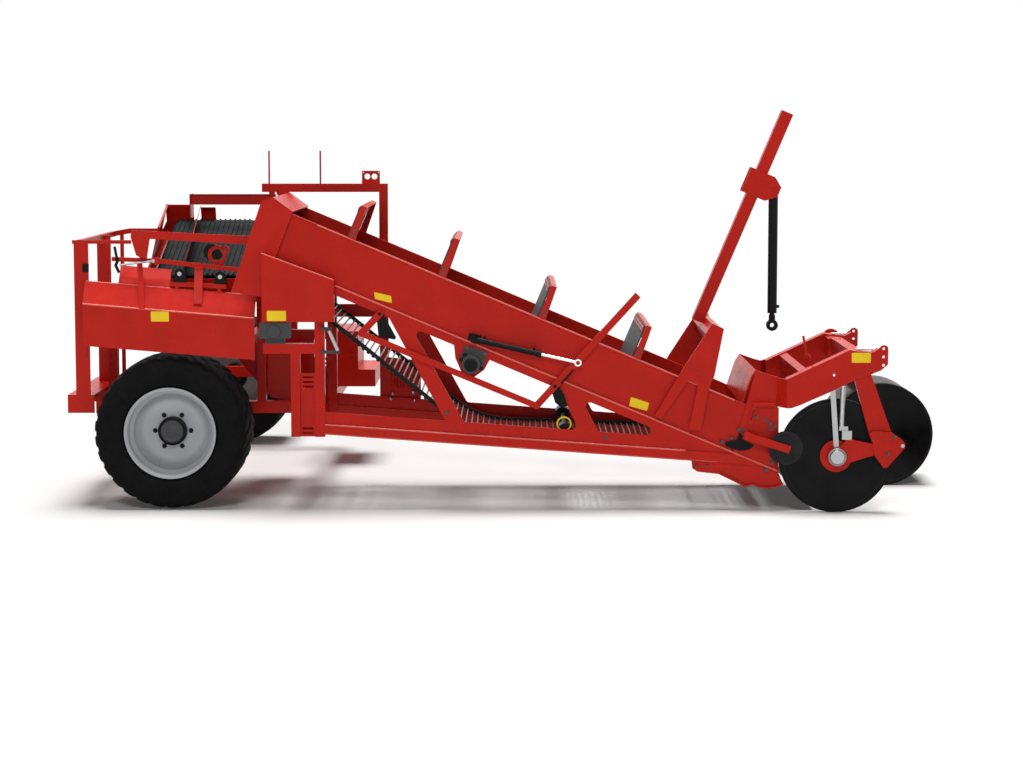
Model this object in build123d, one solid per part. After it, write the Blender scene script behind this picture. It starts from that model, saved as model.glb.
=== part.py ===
"""Trailed single-row potato harvester: sieve elevator, digging head, cross conveyor and sorting table."""
import math
import os
from build123d import *

# ------------------------------------------------------------------ main sizes, in millimetres
# X forward from the rear axle, Y to the machine's left, Z up from the ground.
TYRE_R = 511.0
TYRE_W = 500.0
WHEEL_Y = 1400.0
RIM_SEAT_R = 286.0
RIM_FLANGE_R = 302.0
RIM_T = 10.0
DISH_IN = 110.0
HUB_R = 95.0
AXLE_R = 40.0
BEARING_GAP = 0.06
STUD_PCD = 237.0

CH_MID = -1150.0
CH_HALF = 500.0
FLANGE_W = 26.0
WALL_T = 6.0
WALL_H = 333.0
EL_TAN = 0.4215
EL_X0 = 1000.0
EL_Z0 = 1518.0
WALL_REAR = -450.0
WALL_FRONT_X = 4003.0
TOP_FLANGE_T = 10.0
TOP_FLANGE_S = 2835.0
LOW_FLANGE_T = 12.0

RAIL_X0 = 1022.0
RAIL_Z0 = 505.7
RAIL_TAN = 0.0722
RAIL_H = 65.0
RAIL_PLATE_H = 148.0
RAIL_BOX_W = 34.0
FRAME_T = 8.0
BAND_H = 51.0

BELT_W = 60.0
BELT_T = 12.0
BELT_SIDE_GAP = 14.0
ROD_PITCH = 40.0
ROD_SIZE = 10.0
WEB_N = 100.0
DRIVE_ROLL_R = 85.0
DRIVE_ROLL_S = -330.0
FRONT_ROLL_R = 60.0
FRONT_ROLL_S = 3130.0
SEAT_GAP = 0.3

PILLAR_X0 = 800.0
PILLAR_Z0 = 490.0
PILLAR_DEEP = 60.0
PILLAR_TUBE = 64.0

MAST_SIDE = 80.0
MAST_S = 2430.0
MAST_N0 = 690.0
MAST_N1 = 2217.0
TOWER_T = 10.0
CLAMP_N = 1700.0
CLAMP_H = 172.0
LIFT_PIN_X = 4014.0
LIFT_PIN_Z = 2100.0
LIFT_BARREL_R = 32.0
LIFT_BARREL_Z = 1263.0
LIFT_EYE_Z = 1181.0
LIFT_ROD_R = 17.0
LIFT_STROKE = 400.0

DISC_X = 4370.0
DISC_R = 375.0
DISC_T = 8.0
DRUM_X = 4854.0
DRUM_R = 362.0
DRUM_Y0 = -690.0
DRUM_Y1 = -200.0

LEVER_X = 2532.0
LEVER_Z = 826.0
LEVER_DX = -120.0
LEVER_DZ = -127.0
REAR_LINK_X = 1386.0
REAR_LINK_Z = 1303.0
ROD_EYE_X = 2681.0
ROD_EYE_Z = 985.0
BARREL_X = 2000.0
BARREL_Z = 1140.0
LEVER_D = 508.0
LEVER_T = 8.0

EL_COS = 1.0 / math.sqrt(1.0 + EL_TAN * EL_TAN)
EL_SIN = EL_TAN * EL_COS
EL_DEG = math.degrees(math.atan(EL_TAN))


# ------------------------------------------------------------------ small helpers
def el(s, n):
    """A place in the elevator's own frame: s down along the floor, n square to it."""
    return (EL_X0 + s * EL_COS + n * EL_SIN, EL_Z0 - s * EL_SIN + n * EL_COS)


def el_low(x):
    """Height of the elevator wall's lower edge at x."""
    return EL_Z0 - EL_TAN * (x - EL_X0)


def el_top(x):
    """Height of the elevator wall's upper edge at x."""
    return el_low(x) + WALL_H / EL_COS


def rail_low(x):
    """Height of the side rail's underside at x."""
    return RAIL_Z0 - RAIL_TAN * (x - RAIL_X0)


def side_y(side, d0, d1):
    """A pair of Y values at distances d0 and d1 from the channel's middle, on one side."""
    a = CH_MID + side * d0
    b = CH_MID + side * d1
    return (min(a, b), max(a, b))


def slab_xz(points, y0, y1):
    """A plate with its outline in XZ, from y0 to y1."""
    face = make_face(Polyline(*[(x, 0, z) for x, z in points], close=True))
    return Pos(0, y1, 0) * extrude(face, amount=y1 - y0, dir=(0, -1, 0))


def slab_yz(points, x0, x1):
    """A plate with its outline in YZ, from x0 to x1."""
    face = make_face(Polyline(*[(0, y, z) for y, z in points], close=True))
    return Pos(x0, 0, 0) * extrude(face, amount=x1 - x0, dir=(1, 0, 0))


def block(x0, x1, y0, y1, z0, z1):
    """A straight box between two corners."""
    return Pos((x0 + x1) / 2, (y0 + y1) / 2, (z0 + z1) / 2) * Box(x1 - x0, y1 - y0, z1 - z0)


def disc_y(x, z, r, y0, y1):
    """A round bar along Y."""
    return Pos(x, (y0 + y1) / 2, z) * Rot(90, 0, 0) * Cylinder(r, y1 - y0)


def bar_xz(p, q, width, y0, y1):
    """A flat bar in XZ with square ends, from p to q."""
    ux, uz = q[0] - p[0], q[1] - p[1]
    length = math.hypot(ux, uz)
    ux, uz = ux / length, uz / length
    nx, nz = -uz * width / 2, ux * width / 2
    outline = [(p[0] + nx, p[1] + nz), (p[0] - nx, p[1] - nz), (q[0] - nx, q[1] - nz), (q[0] + nx, q[1] + nz)]
    return slab_xz(outline, y0, y1)


def round_bar(p, q, r):
    """A round bar between two points in space."""
    v = Vector(*q) - Vector(*p)
    plane = Plane(origin=p, z_dir=v)
    return plane * Pos(0, 0, v.length / 2) * Cylinder(r, v.length)


def turned(profile, x, y, z):
    """A body turned about a Y axis; the profile lists (radius, offset along Y)."""
    face = make_face(Polyline(*[(r, dy, 0) for r, dy in profile], close=True))
    return Pos(x, y, z) * revolve(face, Axis.Y)


def panel(a, b, c, thick, part=1.0):
    """A flat four-sided plate from corners a, b and c; its fourth side is parallel to ab and a part as long."""
    a, b, c = Vector(*a), Vector(*b), Vector(*c)
    d = c + (a - b) * part
    face = make_face(Polyline(a, b, c, d, close=True))
    normal = (b - a).cross(c - b).normalized()
    return extrude(face, amount=thick, dir=normal)


def rounded(points, radius, steps):
    """The outline with each corner cut to a few chords of a fillet."""
    out = []
    count = len(points)
    for i in range(count):
        (x0, z0), (x1, z1), (x2, z2) = points[i - 1], points[i], points[(i + 1) % count]
        ax, az, bx, bz = x0 - x1, z0 - z1, x2 - x1, z2 - z1
        la, lb = math.hypot(ax, az), math.hypot(bx, bz)
        ax, az, bx, bz = ax / la, az / la, bx / lb, bz / lb
        half = math.acos(max(-1.0, min(1.0, ax * bx + az * bz))) / 2
        back = min(radius / math.tan(half), 0.45 * la, 0.45 * lb)
        r = back * math.tan(half)
        mx, mz = ax + bx, az + bz
        lm = math.hypot(mx, mz)
        cx, cz = x1 + mx / lm * r / math.sin(half), z1 + mz / lm * r / math.sin(half)
        start = math.atan2(z1 + az * back - cz, x1 + ax * back - cx)
        end = math.atan2(z1 + bz * back - cz, x1 + bx * back - cx)
        turn = (end - start + math.pi) % (2 * math.pi) - math.pi
        for k in range(steps + 1):
            a = start + turn * k / steps
            out.append((cx + r * math.cos(a), cz + r * math.sin(a)))
    return out


# ------------------------------------------------------------------ side frames and elevator walls
# legs: (left edge top x, left edge foot x, right edge top x, right edge foot x)
LEGS = [(1446.0, 1812.0, 1590.0, 1935.0), (2560.0, 2690.0, 2705.0, 2818.0)]
WINDOW_END_X = 3163.0
WINDOW_R = 26.0
MOTOR_X = 1982.0
MOTOR_Z = 976.0
MOTOR_R = 60.0


def side_frame(side):
    """Rail with its upright plate, two legs and the band under the elevator wall."""
    tip_x = RAIL_X0 + (EL_Z0 - EL_TAN * (RAIL_X0 - EL_X0) - RAIL_Z0) / (EL_TAN - RAIL_TAN)
    outline = [(RAIL_X0, rail_low(RAIL_X0)), (tip_x, rail_low(tip_x)), (RAIL_X0, el_low(RAIL_X0))]
    y0, y1 = side_y(side, CH_HALF - 18, CH_HALF - 18 + FRAME_T)
    plate = slab_xz(outline, y0, y1)
    drop = BAND_H / EL_COS

    def top(x):
        return el_low(x) - drop

    def foot(x):
        return rail_low(x) + RAIL_PLATE_H

    first, second = LEGS
    windows = [
        [(RAIL_X0 - 1, foot(RAIL_X0)), (first[1], foot(first[1])), (first[0], top(first[0])),
         (RAIL_X0 - 1, top(RAIL_X0 - 1))],
        [(first[3], foot(first[3])), (second[1], foot(second[1])), (second[0], top(second[0])),
         (first[2], top(first[2]))],
        [(second[3], foot(second[3])), (WINDOW_END_X, foot(WINDOW_END_X)), (WINDOW_END_X, top(WINDOW_END_X)),
         (second[2], top(second[2]))],
    ]
    plate = plate - slab_xz(windows[0], y0 - 1, y1 + 1)
    for outline in windows[1:]:
        plate = plate - slab_xz(rounded(outline, WINDOW_R, 3), y0 - 1, y1 + 1)
    lug = [(1870, top(1870) + 5), (1879, 1010), (1935, 880), (1985, 872), (2068, 932), (2105, 1000),
           (2115, top(2115) + 5)]
    if side < 0:
        plate = plate + slab_xz(lug, y0, y1)
    box_end = RAIL_X0 + (el_low(RAIL_X0) - rail_low(RAIL_X0) - RAIL_H) / (EL_TAN - RAIL_TAN)
    rail = [(RAIL_X0, rail_low(RAIL_X0)), (tip_x, rail_low(tip_x)), (box_end, rail_low(box_end) + RAIL_H),
            (RAIL_X0, rail_low(RAIL_X0) + RAIL_H)]
    ya, yb = side_y(side, CH_HALF - RAIL_BOX_W, CH_HALF)
    return plate + slab_xz(rail, ya, yb)


def elevator_wall(side):
    """Folded wall sheet with its outward top and bottom flanges."""
    inner = CH_HALF - FLANGE_W
    y0, y1 = side_y(side, inner, inner + WALL_T)
    sheet = [el(WALL_REAR, 0), (WALL_FRONT_X, el_low(WALL_FRONT_X)), (WALL_FRONT_X, el_top(WALL_FRONT_X)),
             el(WALL_REAR, WALL_H)]
    wall = slab_xz(sheet, y0, y1)
    ya, yb = side_y(side, inner, CH_HALF)
    top = [el(WALL_REAR, WALL_H - TOP_FLANGE_T), el(TOP_FLANGE_S, WALL_H - TOP_FLANGE_T),
           el(TOP_FLANGE_S, WALL_H), el(WALL_REAR, WALL_H)]
    low = [el(WALL_REAR, 0), (WALL_FRONT_X, el_low(WALL_FRONT_X)),
           (WALL_FRONT_X, el_low(WALL_FRONT_X) + LOW_FLANGE_T / EL_COS), el(WALL_REAR, LOW_FLANGE_T)]
    return wall + slab_xz(top, ya, yb) + slab_xz(low, ya, yb)


# ------------------------------------------------------------------ sieve web
def arc_points(cx, cz, r, a0, a1, step):
    """Points on an arc from angle a0 to a1 in degrees, ends included."""
    count = max(1, int(math.ceil(abs(a1 - a0) / step)))
    angles = [math.radians(a0 + (a1 - a0) * i / count) for i in range(count + 1)]
    return [(cx + r * math.cos(a), cz + r * math.sin(a)) for a in angles]


SLACK_DEG = 38.7
SLACK_R = 600.0
RETURN_TAN = 0.0325
RETURN_X = 2603.0
RETURN_Z = 475.0
IDLER_X = 3450.0
IDLER_R = 40.0
GUIDE_R = 50.0


def web_path():
    """Inner line of the web: over the drive roller, slack down, along the rail, round the front roller."""
    cx, cz = el(DRIVE_ROLL_S, WEB_N - DRIVE_ROLL_R)
    fx, fz = el(FRONT_ROLL_S, WEB_N - FRONT_ROLL_R)
    up = 90.0 - EL_DEG
    path = arc_points(cx, cz, DRIVE_ROLL_R, up, 270.0 - SLACK_DEG, 9.0)
    slack = math.radians(SLACK_DEG)
    back = math.atan(RETURN_TAN)
    sx, sz = path[-1]
    tan_s = math.tan(slack)
    meet_x = (sz + tan_s * sx - RETURN_Z - RETURN_TAN * RETURN_X) / (tan_s - RETURN_TAN)
    meet_z = sz - tan_s * (meet_x - sx)
    reach = SLACK_R * math.tan((slack - back) / 2)
    ax = meet_x - reach * math.cos(slack)
    az = meet_z + reach * math.sin(slack)
    ox = ax + SLACK_R * math.sin(slack)
    oz = az + SLACK_R * math.cos(slack)
    path += arc_points(ox, oz, SLACK_R, 270.0 - SLACK_DEG, 270.0 - math.degrees(back), 6.0)
    # over the outside idler, then down to the front roller
    ix = IDLER_X
    iz = RETURN_Z - RETURN_TAN * (IDLER_X - RETURN_X)
    path.append((ix, iz))
    away = math.hypot(fx - ix, fz - iz)
    line = math.atan2(iz - fz, fx - ix) - math.asin(FRONT_ROLL_R / away)
    lead = math.atan2(iz - fz, fx - ix) + math.asin(FRONT_ROLL_R / away)
    start = 270.0 - math.degrees(max(line, lead))
    path += arc_points(fx, fz, FRONT_ROLL_R, start, 360.0 + up, 6.0)
    return path


def grow(path, distance):
    """The closed path moved outward by a distance."""
    count = len(path)
    out = []
    for i in range(count):
        x0, z0 = path[i - 1]
        x1, z1 = path[i]
        x2, z2 = path[(i + 1) % count]
        ax, az = x1 - x0, z1 - z0
        bx, bz = x2 - x1, z2 - z1
        la, lb = math.hypot(ax, az), math.hypot(bx, bz)
        nx = az / la + bz / lb
        nz = -(ax / la + bx / lb)
        half = math.hypot(nx, nz)
        scale = 2 * distance / (half * half)
        out.append((x1 + nx * scale, z1 + nz * scale))
    return out


def walk(path, pitch):
    """Evenly spaced places and headings round a closed path."""
    pts = path + [path[0]]
    spans = [math.hypot(b[0] - a[0], b[1] - a[1]) for a, b in zip(pts, pts[1:])]
    total = sum(spans)
    count = int(total // pitch)
    step = total / count
    places = []
    i, base = 0, 0.0
    for k in range(count):
        target = (k + 0.5) * step
        while base + spans[i] < target:
            base += spans[i]
            i += 1
        f = (target - base) / spans[i]
        (x0, z0), (x1, z1) = pts[i], pts[i + 1]
        places.append((x0 + f * (x1 - x0), z0 + f * (z1 - z0), math.degrees(math.atan2(z1 - z0, x1 - x0))))
    return places


def sieve_web():
    """Two closed belts with steel rods let into their inner edges."""
    inner = web_path()
    outer = grow(inner, BELT_T)
    middle = grow(inner, BELT_T / 2)
    half = CH_HALF - FLANGE_W - BELT_SIDE_GAP
    belts = []
    for side in (-1, 1):
        y0, y1 = side_y(side, half - BELT_W, half)
        belts.append(slab_xz(outer, y0, y1) - slab_xz(inner, y0 - 1, y1 + 1))
    rods = []
    length = 2 * (half - BELT_W) + 20
    for x, z, heading in walk(middle, ROD_PITCH):
        rods.append(Pos(x, CH_MID, z) * Rot(0, -heading, 0) * Box(ROD_SIZE, length, ROD_SIZE))
    web = belts[0].fuse(belts[1], *rods)
    return web


def web_rollers():
    """Drive roller, front roller, guide and idler rollers and the agitator shaft."""
    reach = CH_HALF - FLANGE_W
    span = side_y(1, -reach, reach)
    drum = (CH_MID - reach + BELT_SIDE_GAP, CH_MID + reach - BELT_SIDE_GAP)
    rolls = []
    cx, cz = el(DRIVE_ROLL_S, WEB_N - DRIVE_ROLL_R)
    rolls.append(disc_y(cx, cz, DRIVE_ROLL_R - SEAT_GAP, *drum) + disc_y(cx, cz, 25, *span))
    fx, fz = el(FRONT_ROLL_S, WEB_N - FRONT_ROLL_R)
    rolls.append(disc_y(fx, fz, FRONT_ROLL_R - SEAT_GAP, *drum) + disc_y(fx, fz, 20, *span))
    rail_in = CH_HALF - RAIL_BOX_W
    rail_span = side_y(1, -rail_in, rail_in)
    gz = RETURN_Z + GUIDE_R + SEAT_GAP
    guide = disc_y(RETURN_X, gz, 15, *side_y(1, -(CH_HALF - 18), CH_HALF - 18))
    for side in (-1, 1):
        guide = guide + disc_y(RETURN_X, gz, GUIDE_R, *side_y(side, 330, 460))
    rolls.append(guide)
    iz = RETURN_Z - RETURN_TAN * (IDLER_X - RETURN_X) - BELT_T - IDLER_R - 6
    idler = disc_y(IDLER_X, iz, 15, *rail_span)
    for side in (-1, 1):
        idler = idler + disc_y(IDLER_X, iz, IDLER_R, *side_y(side, 390, 460))
    rolls.append(idler)
    reach = CH_HALF - 18
    shaft = disc_y(MOTOR_X, MOTOR_Z, 22, *side_y(1, -reach, reach))
    for side in (-1, 1):
        shaft = shaft + disc_y(MOTOR_X, MOTOR_Z, 45, *side_y(side, 395, 465))
    rolls.append(shaft)
    return rolls


# ------------------------------------------------------------------ flap bridges
# place along the elevator, height of the bridge's top above the floor line
BRIDGES = [(59.0, 560.0), (697.0, 600.0), (1404.0, 560.0), (2079.0, 560.0)]
POST_W = 50.0
POST_T = 8.0
FLAP_T = 10.0
FLAP_END_N = 150.0


def flap_bridges():
    """Cross bars on posts that stand on the wall tops."""
    pieces = []
    for s, top in BRIDGES:
        cross_h = min(90.0, (top - WALL_H) * 0.8)
        y0, y1 = side_y(1, -CH_HALF, CH_HALF)
        bridge = slab_xz([el(s, top - cross_h), el(s + 8, top - cross_h), el(s + 8, top), el(s, top)], y0, y1)
        bridge = bridge + slab_xz([el(s, top - 8), el(s + 36, top - 8), el(s + 36, top), el(s, top)], y0, y1)
        for side in (-1, 1):
            ya, yb = side_y(side, CH_HALF - POST_T, CH_HALF)
            post = [el(s, WALL_H), el(s + POST_W, WALL_H), el(s + POST_W * 0.7, top), el(s, top)]
            bridge = bridge + slab_xz(post, ya, yb)
        pieces.append(bridge)
    return Compound(children=pieces)


def rubber_flaps():
    """Sheets that hang from the bridges into the channel."""
    flaps = []
    inner = CH_HALF - FLANGE_W - 12
    for s, top in BRIDGES:
        y0, y1 = side_y(1, -inner, inner)
        outline = [el(s - FLAP_T, FLAP_END_N), el(s, FLAP_END_N), el(s, top - 12), el(s - FLAP_T, top - 12)]
        flaps.append(slab_xz(outline, y0, y1))
    return Compound(children=flaps)


# ------------------------------------------------------------------ mast and lift cylinder
def mast_tower():
    """Forked side plates on both walls and the closed cross box that carries the mast."""
    outline = [(3511, 1162), (3560, 1240), (3636, 1205), (3576, 895), (3533, 788), (3500, 585), (3487, 535),
               (3412, 540), (3469, 833), (3405, 865), (3228, 610), (3185, 628), (3361, 929)]
    y0, y1 = side_y(1, -CH_HALF - TOWER_T, CH_HALF + TOWER_T)
    tower = slab_xz([(3524, 1165), (3565, 1231), (3628, 1202), (3600, 1060), (3560, 1075)], y0, y1)
    for side in (-1, 1):
        ya, yb = side_y(side, CH_HALF, CH_HALF + TOWER_T)
        tower = tower + slab_xz(outline, ya, yb)
    return tower - slab_xz(mast_outline(MAST_N0), CH_MID - MAST_SIDE / 2, CH_MID + MAST_SIDE / 2)


def mast_outline(low):
    """The mast's outline in XZ from a height above the floor line to its top."""
    half = MAST_SIDE / 2
    return [el(MAST_S - half, low), el(MAST_S + half, low), el(MAST_S + half, MAST_N1),
            el(MAST_S - half, MAST_N1)]


def mast():
    """Square tube, closed at its top, let into the tower's cross box."""
    return slab_xz(mast_outline(MAST_N0), CH_MID - MAST_SIDE / 2, CH_MID + MAST_SIDE / 2)


def mast_clamp():
    """Bolted clamp round the mast with two ears for the lift cylinder's pin."""
    half = MAST_SIDE / 2
    n0, n1 = CLAMP_N - CLAMP_H / 2, CLAMP_N + CLAMP_H / 2
    plate = [el(2350, n0), el(2525, n0), el(2590, CLAMP_N - 30), el(2590, CLAMP_N + 38), el(2525, n1), el(2350, n1)]
    clamp = slab_xz([el(2382, n0 + 12), el(2486, n0 + 12), el(2486, n1 - 12), el(2382, n1 - 12)],
                    CH_MID - half - 10, CH_MID + half + 10)
    clamp = clamp - slab_xz([el(MAST_S - half, n0), el(MAST_S + half, n0), el(MAST_S + half, n1),
                             el(MAST_S - half, n1)], CH_MID - half, CH_MID + half)
    for side in (-1, 1):
        ya, yb = side_y(side, half, half + 10)
        ear = slab_xz(plate, ya, yb)
        clamp = clamp + ear
    clamp = clamp + disc_y(LIFT_PIN_X, LIFT_PIN_Z, 12, CH_MID - half - 18, CH_MID + half + 18)
    return clamp


def lift_barrel():
    """Cylinder tube with its top eye, hanging from the clamp's pin."""
    top = LIFT_PIN_Z - 45
    tube = Pos(LIFT_PIN_X, CH_MID, (top + LIFT_BARREL_Z) / 2) * Cylinder(LIFT_BARREL_R, top - LIFT_BARREL_Z)
    bore = Pos(LIFT_PIN_X, CH_MID, LIFT_BARREL_Z + 260) * Cylinder(LIFT_ROD_R + 0.5, 540)
    eye = disc_y(LIFT_PIN_X, LIFT_PIN_Z, 34, CH_MID - 25, CH_MID + 25)
    neck = block(LIFT_PIN_X - 22, LIFT_PIN_X + 22, CH_MID - 25, CH_MID + 25, top - 5, LIFT_PIN_Z)
    port = round_bar((LIFT_PIN_X, CH_MID, LIFT_BARREL_Z + 45), (LIFT_PIN_X + 48, CH_MID, LIFT_BARREL_Z + 45), 11)
    body = tube + eye + neck + port
    body = body - bore
    return body - disc_y(LIFT_PIN_X, LIFT_PIN_Z, 12.5, CH_MID - 30, CH_MID + 30)


def lift_rod():
    """Piston rod with the round eye that the drawbar's pin goes through."""
    top = LIFT_BARREL_Z + LIFT_STROKE + 105
    rod = Pos(LIFT_PIN_X, CH_MID, (top + LIFT_EYE_Z + 30) / 2) * Cylinder(LIFT_ROD_R, top - LIFT_EYE_Z - 30)
    collar = Pos(LIFT_PIN_X, CH_MID, LIFT_EYE_Z + 50) * Cylinder(22, 36)
    eye = disc_y(LIFT_PIN_X, LIFT_EYE_Z, 39, CH_MID - 17, CH_MID + 17)
    return rod + collar + eye - disc_y(LIFT_PIN_X, LIFT_EYE_Z, 15, CH_MID - 30, CH_MID + 30)


# ------------------------------------------------------------------ digging head
ARM_IN = CH_HALF
ARM_OUT = 590.0
SIDE_D = CH_HALF - FLANGE_W + WALL_T
HEAD_T = 10.0
FOLD_X = 3985.0
ARM_X0 = 4040.0
ARM_LINE = [(ARM_X0, 881.0), (4448.0, 1074.0), (4490.0, 1066.0), (4598.0, 1058.0), (4640.0, 1080.0),
            (4640.0, 940.0), (4556.0, 896.0), (4481.0, 875.0), (4325.0, 799.0), (4127.0, 712.0), (4070.0, 692.0),
            (ARM_X0, 692.0)]
EAR_LINE = [(4590.0, 1052.0), (4640.0, 1086.0), (4655.0, 1102.0), (4676.0, 1106.0), (4694.0, 1096.0),
            (4698.0, 1080.0), (4697.0, 979.0), (4652.0, 940.0), (4560.0, 905.0)]
EAR_X = 4668.0
EAR_Z = [1082.0, 1028.0, 974.0]
EAR_HOLE_R = 9.0
EAR_T = 12.0
CROSS_HOLES = [(-1450.0, 0.72), (-1010.0, 0.72), (-1450.0, 0.3), (-1010.0, 0.3), (-1560.0, 0.05)]
# hole through each arm: x, z, radius
ARM_PIN = (4347.0, 909.0, 9.0)


def cross_plate():
    """Folded plate between the side plates, square to the floor, with its drilled face and top strip."""
    outline = [(3849, 930), (3819, 887), (3757, 705), (3765, 702), (3827, 884), (3856, 925)]
    inner = CH_HALF - FLANGE_W
    plate = slab_xz(outline, CH_MID - inner, CH_MID + inner)
    for y, part in CROSS_HOLES:
        x, z = 3765 + 62 * part, 720 + 175 * part
        plate = plate - round_bar((x - 30, y, z + 10), (x + 30, y, z - 10), 7)
    return plate


def head_side_plates():
    """Plates on both walls with their outward fold, the small shelves, slotted brackets and the cross plate."""
    foot = LOW_FLANGE_T / EL_COS
    outline = [(3850, 931), (3953, 895), (FOLD_X + 6, 886), (FOLD_X + 6, 692), (WALL_FRONT_X, 680),
               (WALL_FRONT_X, el_low(WALL_FRONT_X) + foot), (3705, el_low(3705) + foot)]
    plates = cross_plate()
    d0, d1 = SIDE_D, SIDE_D + HEAD_T
    for side in (-1, 1):
        plates = plates + slab_xz(outline, *side_y(side, d0, d1))
        fold = [(FOLD_X, d0), (FOLD_X, d1), (ARM_X0, ARM_OUT), (ARM_X0, ARM_OUT - 18)]
        face = make_face(Polyline(*[(x, CH_MID + side * d, 692) for x, d in fold], close=True))
        plates = plates + extrude(face, amount=189, dir=(0, 0, 1))
        plates = plates + block(3826, 3968, *side_y(side, d1, d1 + 40), 699, 716)
        strap = bar_xz((3845, 698), (3812, 574), 34, *side_y(side, d1, d1 + 12))
        strap = strap - bar_xz((3838, 668), (3820, 604), 14, *side_y(side, d1 - 1, d1 + 14))
        plates = plates + strap
    tip = [(3849, 930), (3819, 887), (3790, 800), (3798, 797), (3827, 884), (3856, 925)]
    for side in (-1, 1):
        plates = plates + slab_xz(tip, *side_y(side, CH_HALF - FLANGE_W, SIDE_D))
    return plates


def head_frame():
    """Two box arms, the front and rear cross members, a corner box and the drilled front ears."""
    frame = None
    x, z, r = ARM_PIN
    for side in (-1, 1):
        y0, y1 = side_y(side, ARM_IN, ARM_OUT)
        arm = slab_xz(ARM_LINE, y0, y1) - disc_y(x, z, r, y0 - 1, y1 + 1)
        ya, yb = side_y(side, ARM_OUT - EAR_T, ARM_OUT)
        ear = slab_xz(EAR_LINE, ya, yb)
        for ear_z in EAR_Z:
            ear = ear - disc_y(EAR_X, ear_z, EAR_HOLE_R, ya - 1, yb + 1)
        arm = arm + ear
        frame = arm if frame is None else frame + arm
    span = side_y(1, -ARM_IN, ARM_IN)
    frame = frame + slab_xz([(4470, 960), (4560, 975), (4560, 1050), (4470, 1058)], *span)
    frame = frame + slab_xz([(4135, 825), (4180, 846), (4180, 940), (4135, 919)], *span)
    return frame + block(4452, 4540, *side_y(1, 330, ARM_IN), 930, 1054)


# ------------------------------------------------------------------ disc, drum and ground tools
DISC_D = 550.0
STRUT_T = 28.0
DISC_PLATE_T = 12.0
SHIELD_T = 10.0
STUB_R = 25.0
CAP_R = 58.0
DISC_FLANGE_R = 105.0
RUN_GAP = 12.0
SMALL_DISC_X = 4043.0
SMALL_DISC_Z = 426.0
SMALL_DISC_R = 112.0
SMALL_D = 557.0
SMALL_T = 5.0
DRUM_ARM_T = 40.0
DRUM_HUB_Y = -560.0


def disc_strut():
    """Leg from the right head arm's underside down past the disc, and its pointed foot shield."""
    leg = slab_xz([(4482, 874), (4556, 895), (4590, 911), (4726, 532), (4735, 470), (4600, 466), (4581, 519)],
                  *side_y(-1, ARM_OUT - STRUT_T, ARM_OUT))
    d0 = ARM_OUT + DISC_PLATE_T
    shield = slab_xz([(4580, 525), (4600, 545), (4726, 536), (4790, 490), (4814, 462), (4812, 436), (4700, 306),
                      (4676, 302), (4612, 385), (4600, 470)], *side_y(-1, d0, d0 + SHIELD_T))
    spacer = slab_xz([(4700, 470), (4726, 532), (4770, 500), (4770, 420), (4700, 400)],
                     *side_y(-1, ARM_OUT - STRUT_T, d0))
    return leg + spacer + shield


def disc_arm():
    """Swing arm, bearing flange and stub that carry the disc."""
    outer = ARM_OUT
    y0, y1 = side_y(-1, outer, outer + DISC_PLATE_T)
    arm = slab_xz([(DISC_X, DISC_R + 46), (4404, 452), (4430, 486), (4472, 486), (4600, 460), (4699, 466),
                   (4699, 405), (4598, 380), (4462, 338), (DISC_X, DISC_R - 46)], y0, y1)
    face = DISC_D + RUN_GAP
    arm = arm + disc_y(DISC_X, DISC_R, 46, *side_y(-1, face, outer + DISC_PLATE_T))
    arm = arm + disc_y(DISC_X, DISC_R, DISC_FLANGE_R, *side_y(-1, face, face + 10))
    inner = DISC_D - DISC_T - 26
    arm = arm + disc_y(DISC_X, DISC_R, STUB_R, *side_y(-1, inner, face))
    return arm + disc_y(DISC_X, DISC_R, 38, *side_y(-1, inner - 8, inner))


def coulter_disc():
    """Flat disc with its bearing boss on the inside."""
    disc = disc_y(DISC_X, DISC_R, DISC_R, *side_y(-1, DISC_D - DISC_T, DISC_D))
    disc = disc + disc_y(DISC_X, DISC_R, 55, *side_y(-1, DISC_D - DISC_T - 20, DISC_D))
    return disc - disc_y(DISC_X, DISC_R, STUB_R + BEARING_GAP, *side_y(-1, DISC_D - 60, DISC_D + 20))


# screw: top x and z, foot x and z, radius
SCREW = (4409.0, 838.0, 4402.0, 560.0, 13.0)
SCREW_D = 573.0


def depth_spindle():
    """Threaded depth screw with its nut and fork, the flat slide beside it and the bright cap of the hub."""
    y = CH_MID - SCREW_D
    x0, z0, x1, z1, r = SCREW
    screw = round_bar((x0, y, z0), (x1, y, z1), r)
    fork = block(4402, 4466, *side_y(-1, SCREW_D - 11, ARM_OUT + DISC_PLATE_T), 486.5, 545)
    nut = block(4386, 4444, *side_y(-1, SCREW_D - 13, SCREW_D + 13), 545, 572)
    slide = bar_xz((4340, 830), (4370, 425), 34, *side_y(-1, SCREW_D + 1, SCREW_D + 9))
    over = slab_xz([(4246, 760.5), (4481, 875), (4481, 1000), (4246, 1000)], *side_y(-1, ARM_IN, ARM_OUT + 40))
    slide = slide - over
    spindle = screw + fork + nut - over
    start = ARM_OUT + DISC_PLATE_T
    cap = disc_y(DISC_X, DISC_R, CAP_R, *side_y(-1, start, start + 24))
    cap = cap + disc_y(DISC_X, DISC_R, CAP_R - 14, *side_y(-1, start + 24, start + 34))
    return Compound(children=[spindle, slide, cap])


def head_pins():
    """Bright pins: the stub in the foot shield and the two locking rods by the ears."""
    d = ARM_OUT + DISC_PLATE_T + SHIELD_T
    pins = [disc_y(4794, 450, 12, *side_y(-1, d, d + 16))]
    pins.append(round_bar((4500, CH_MID - 520, 1071.6), (4610, CH_MID - 520, 1071.6), 6))
    pins.append(round_bar((4500, CH_MID + 520, 1071.6), (4610, CH_MID + 520, 1071.6), 6))
    return pins


CRANK_R = 6.0


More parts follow.
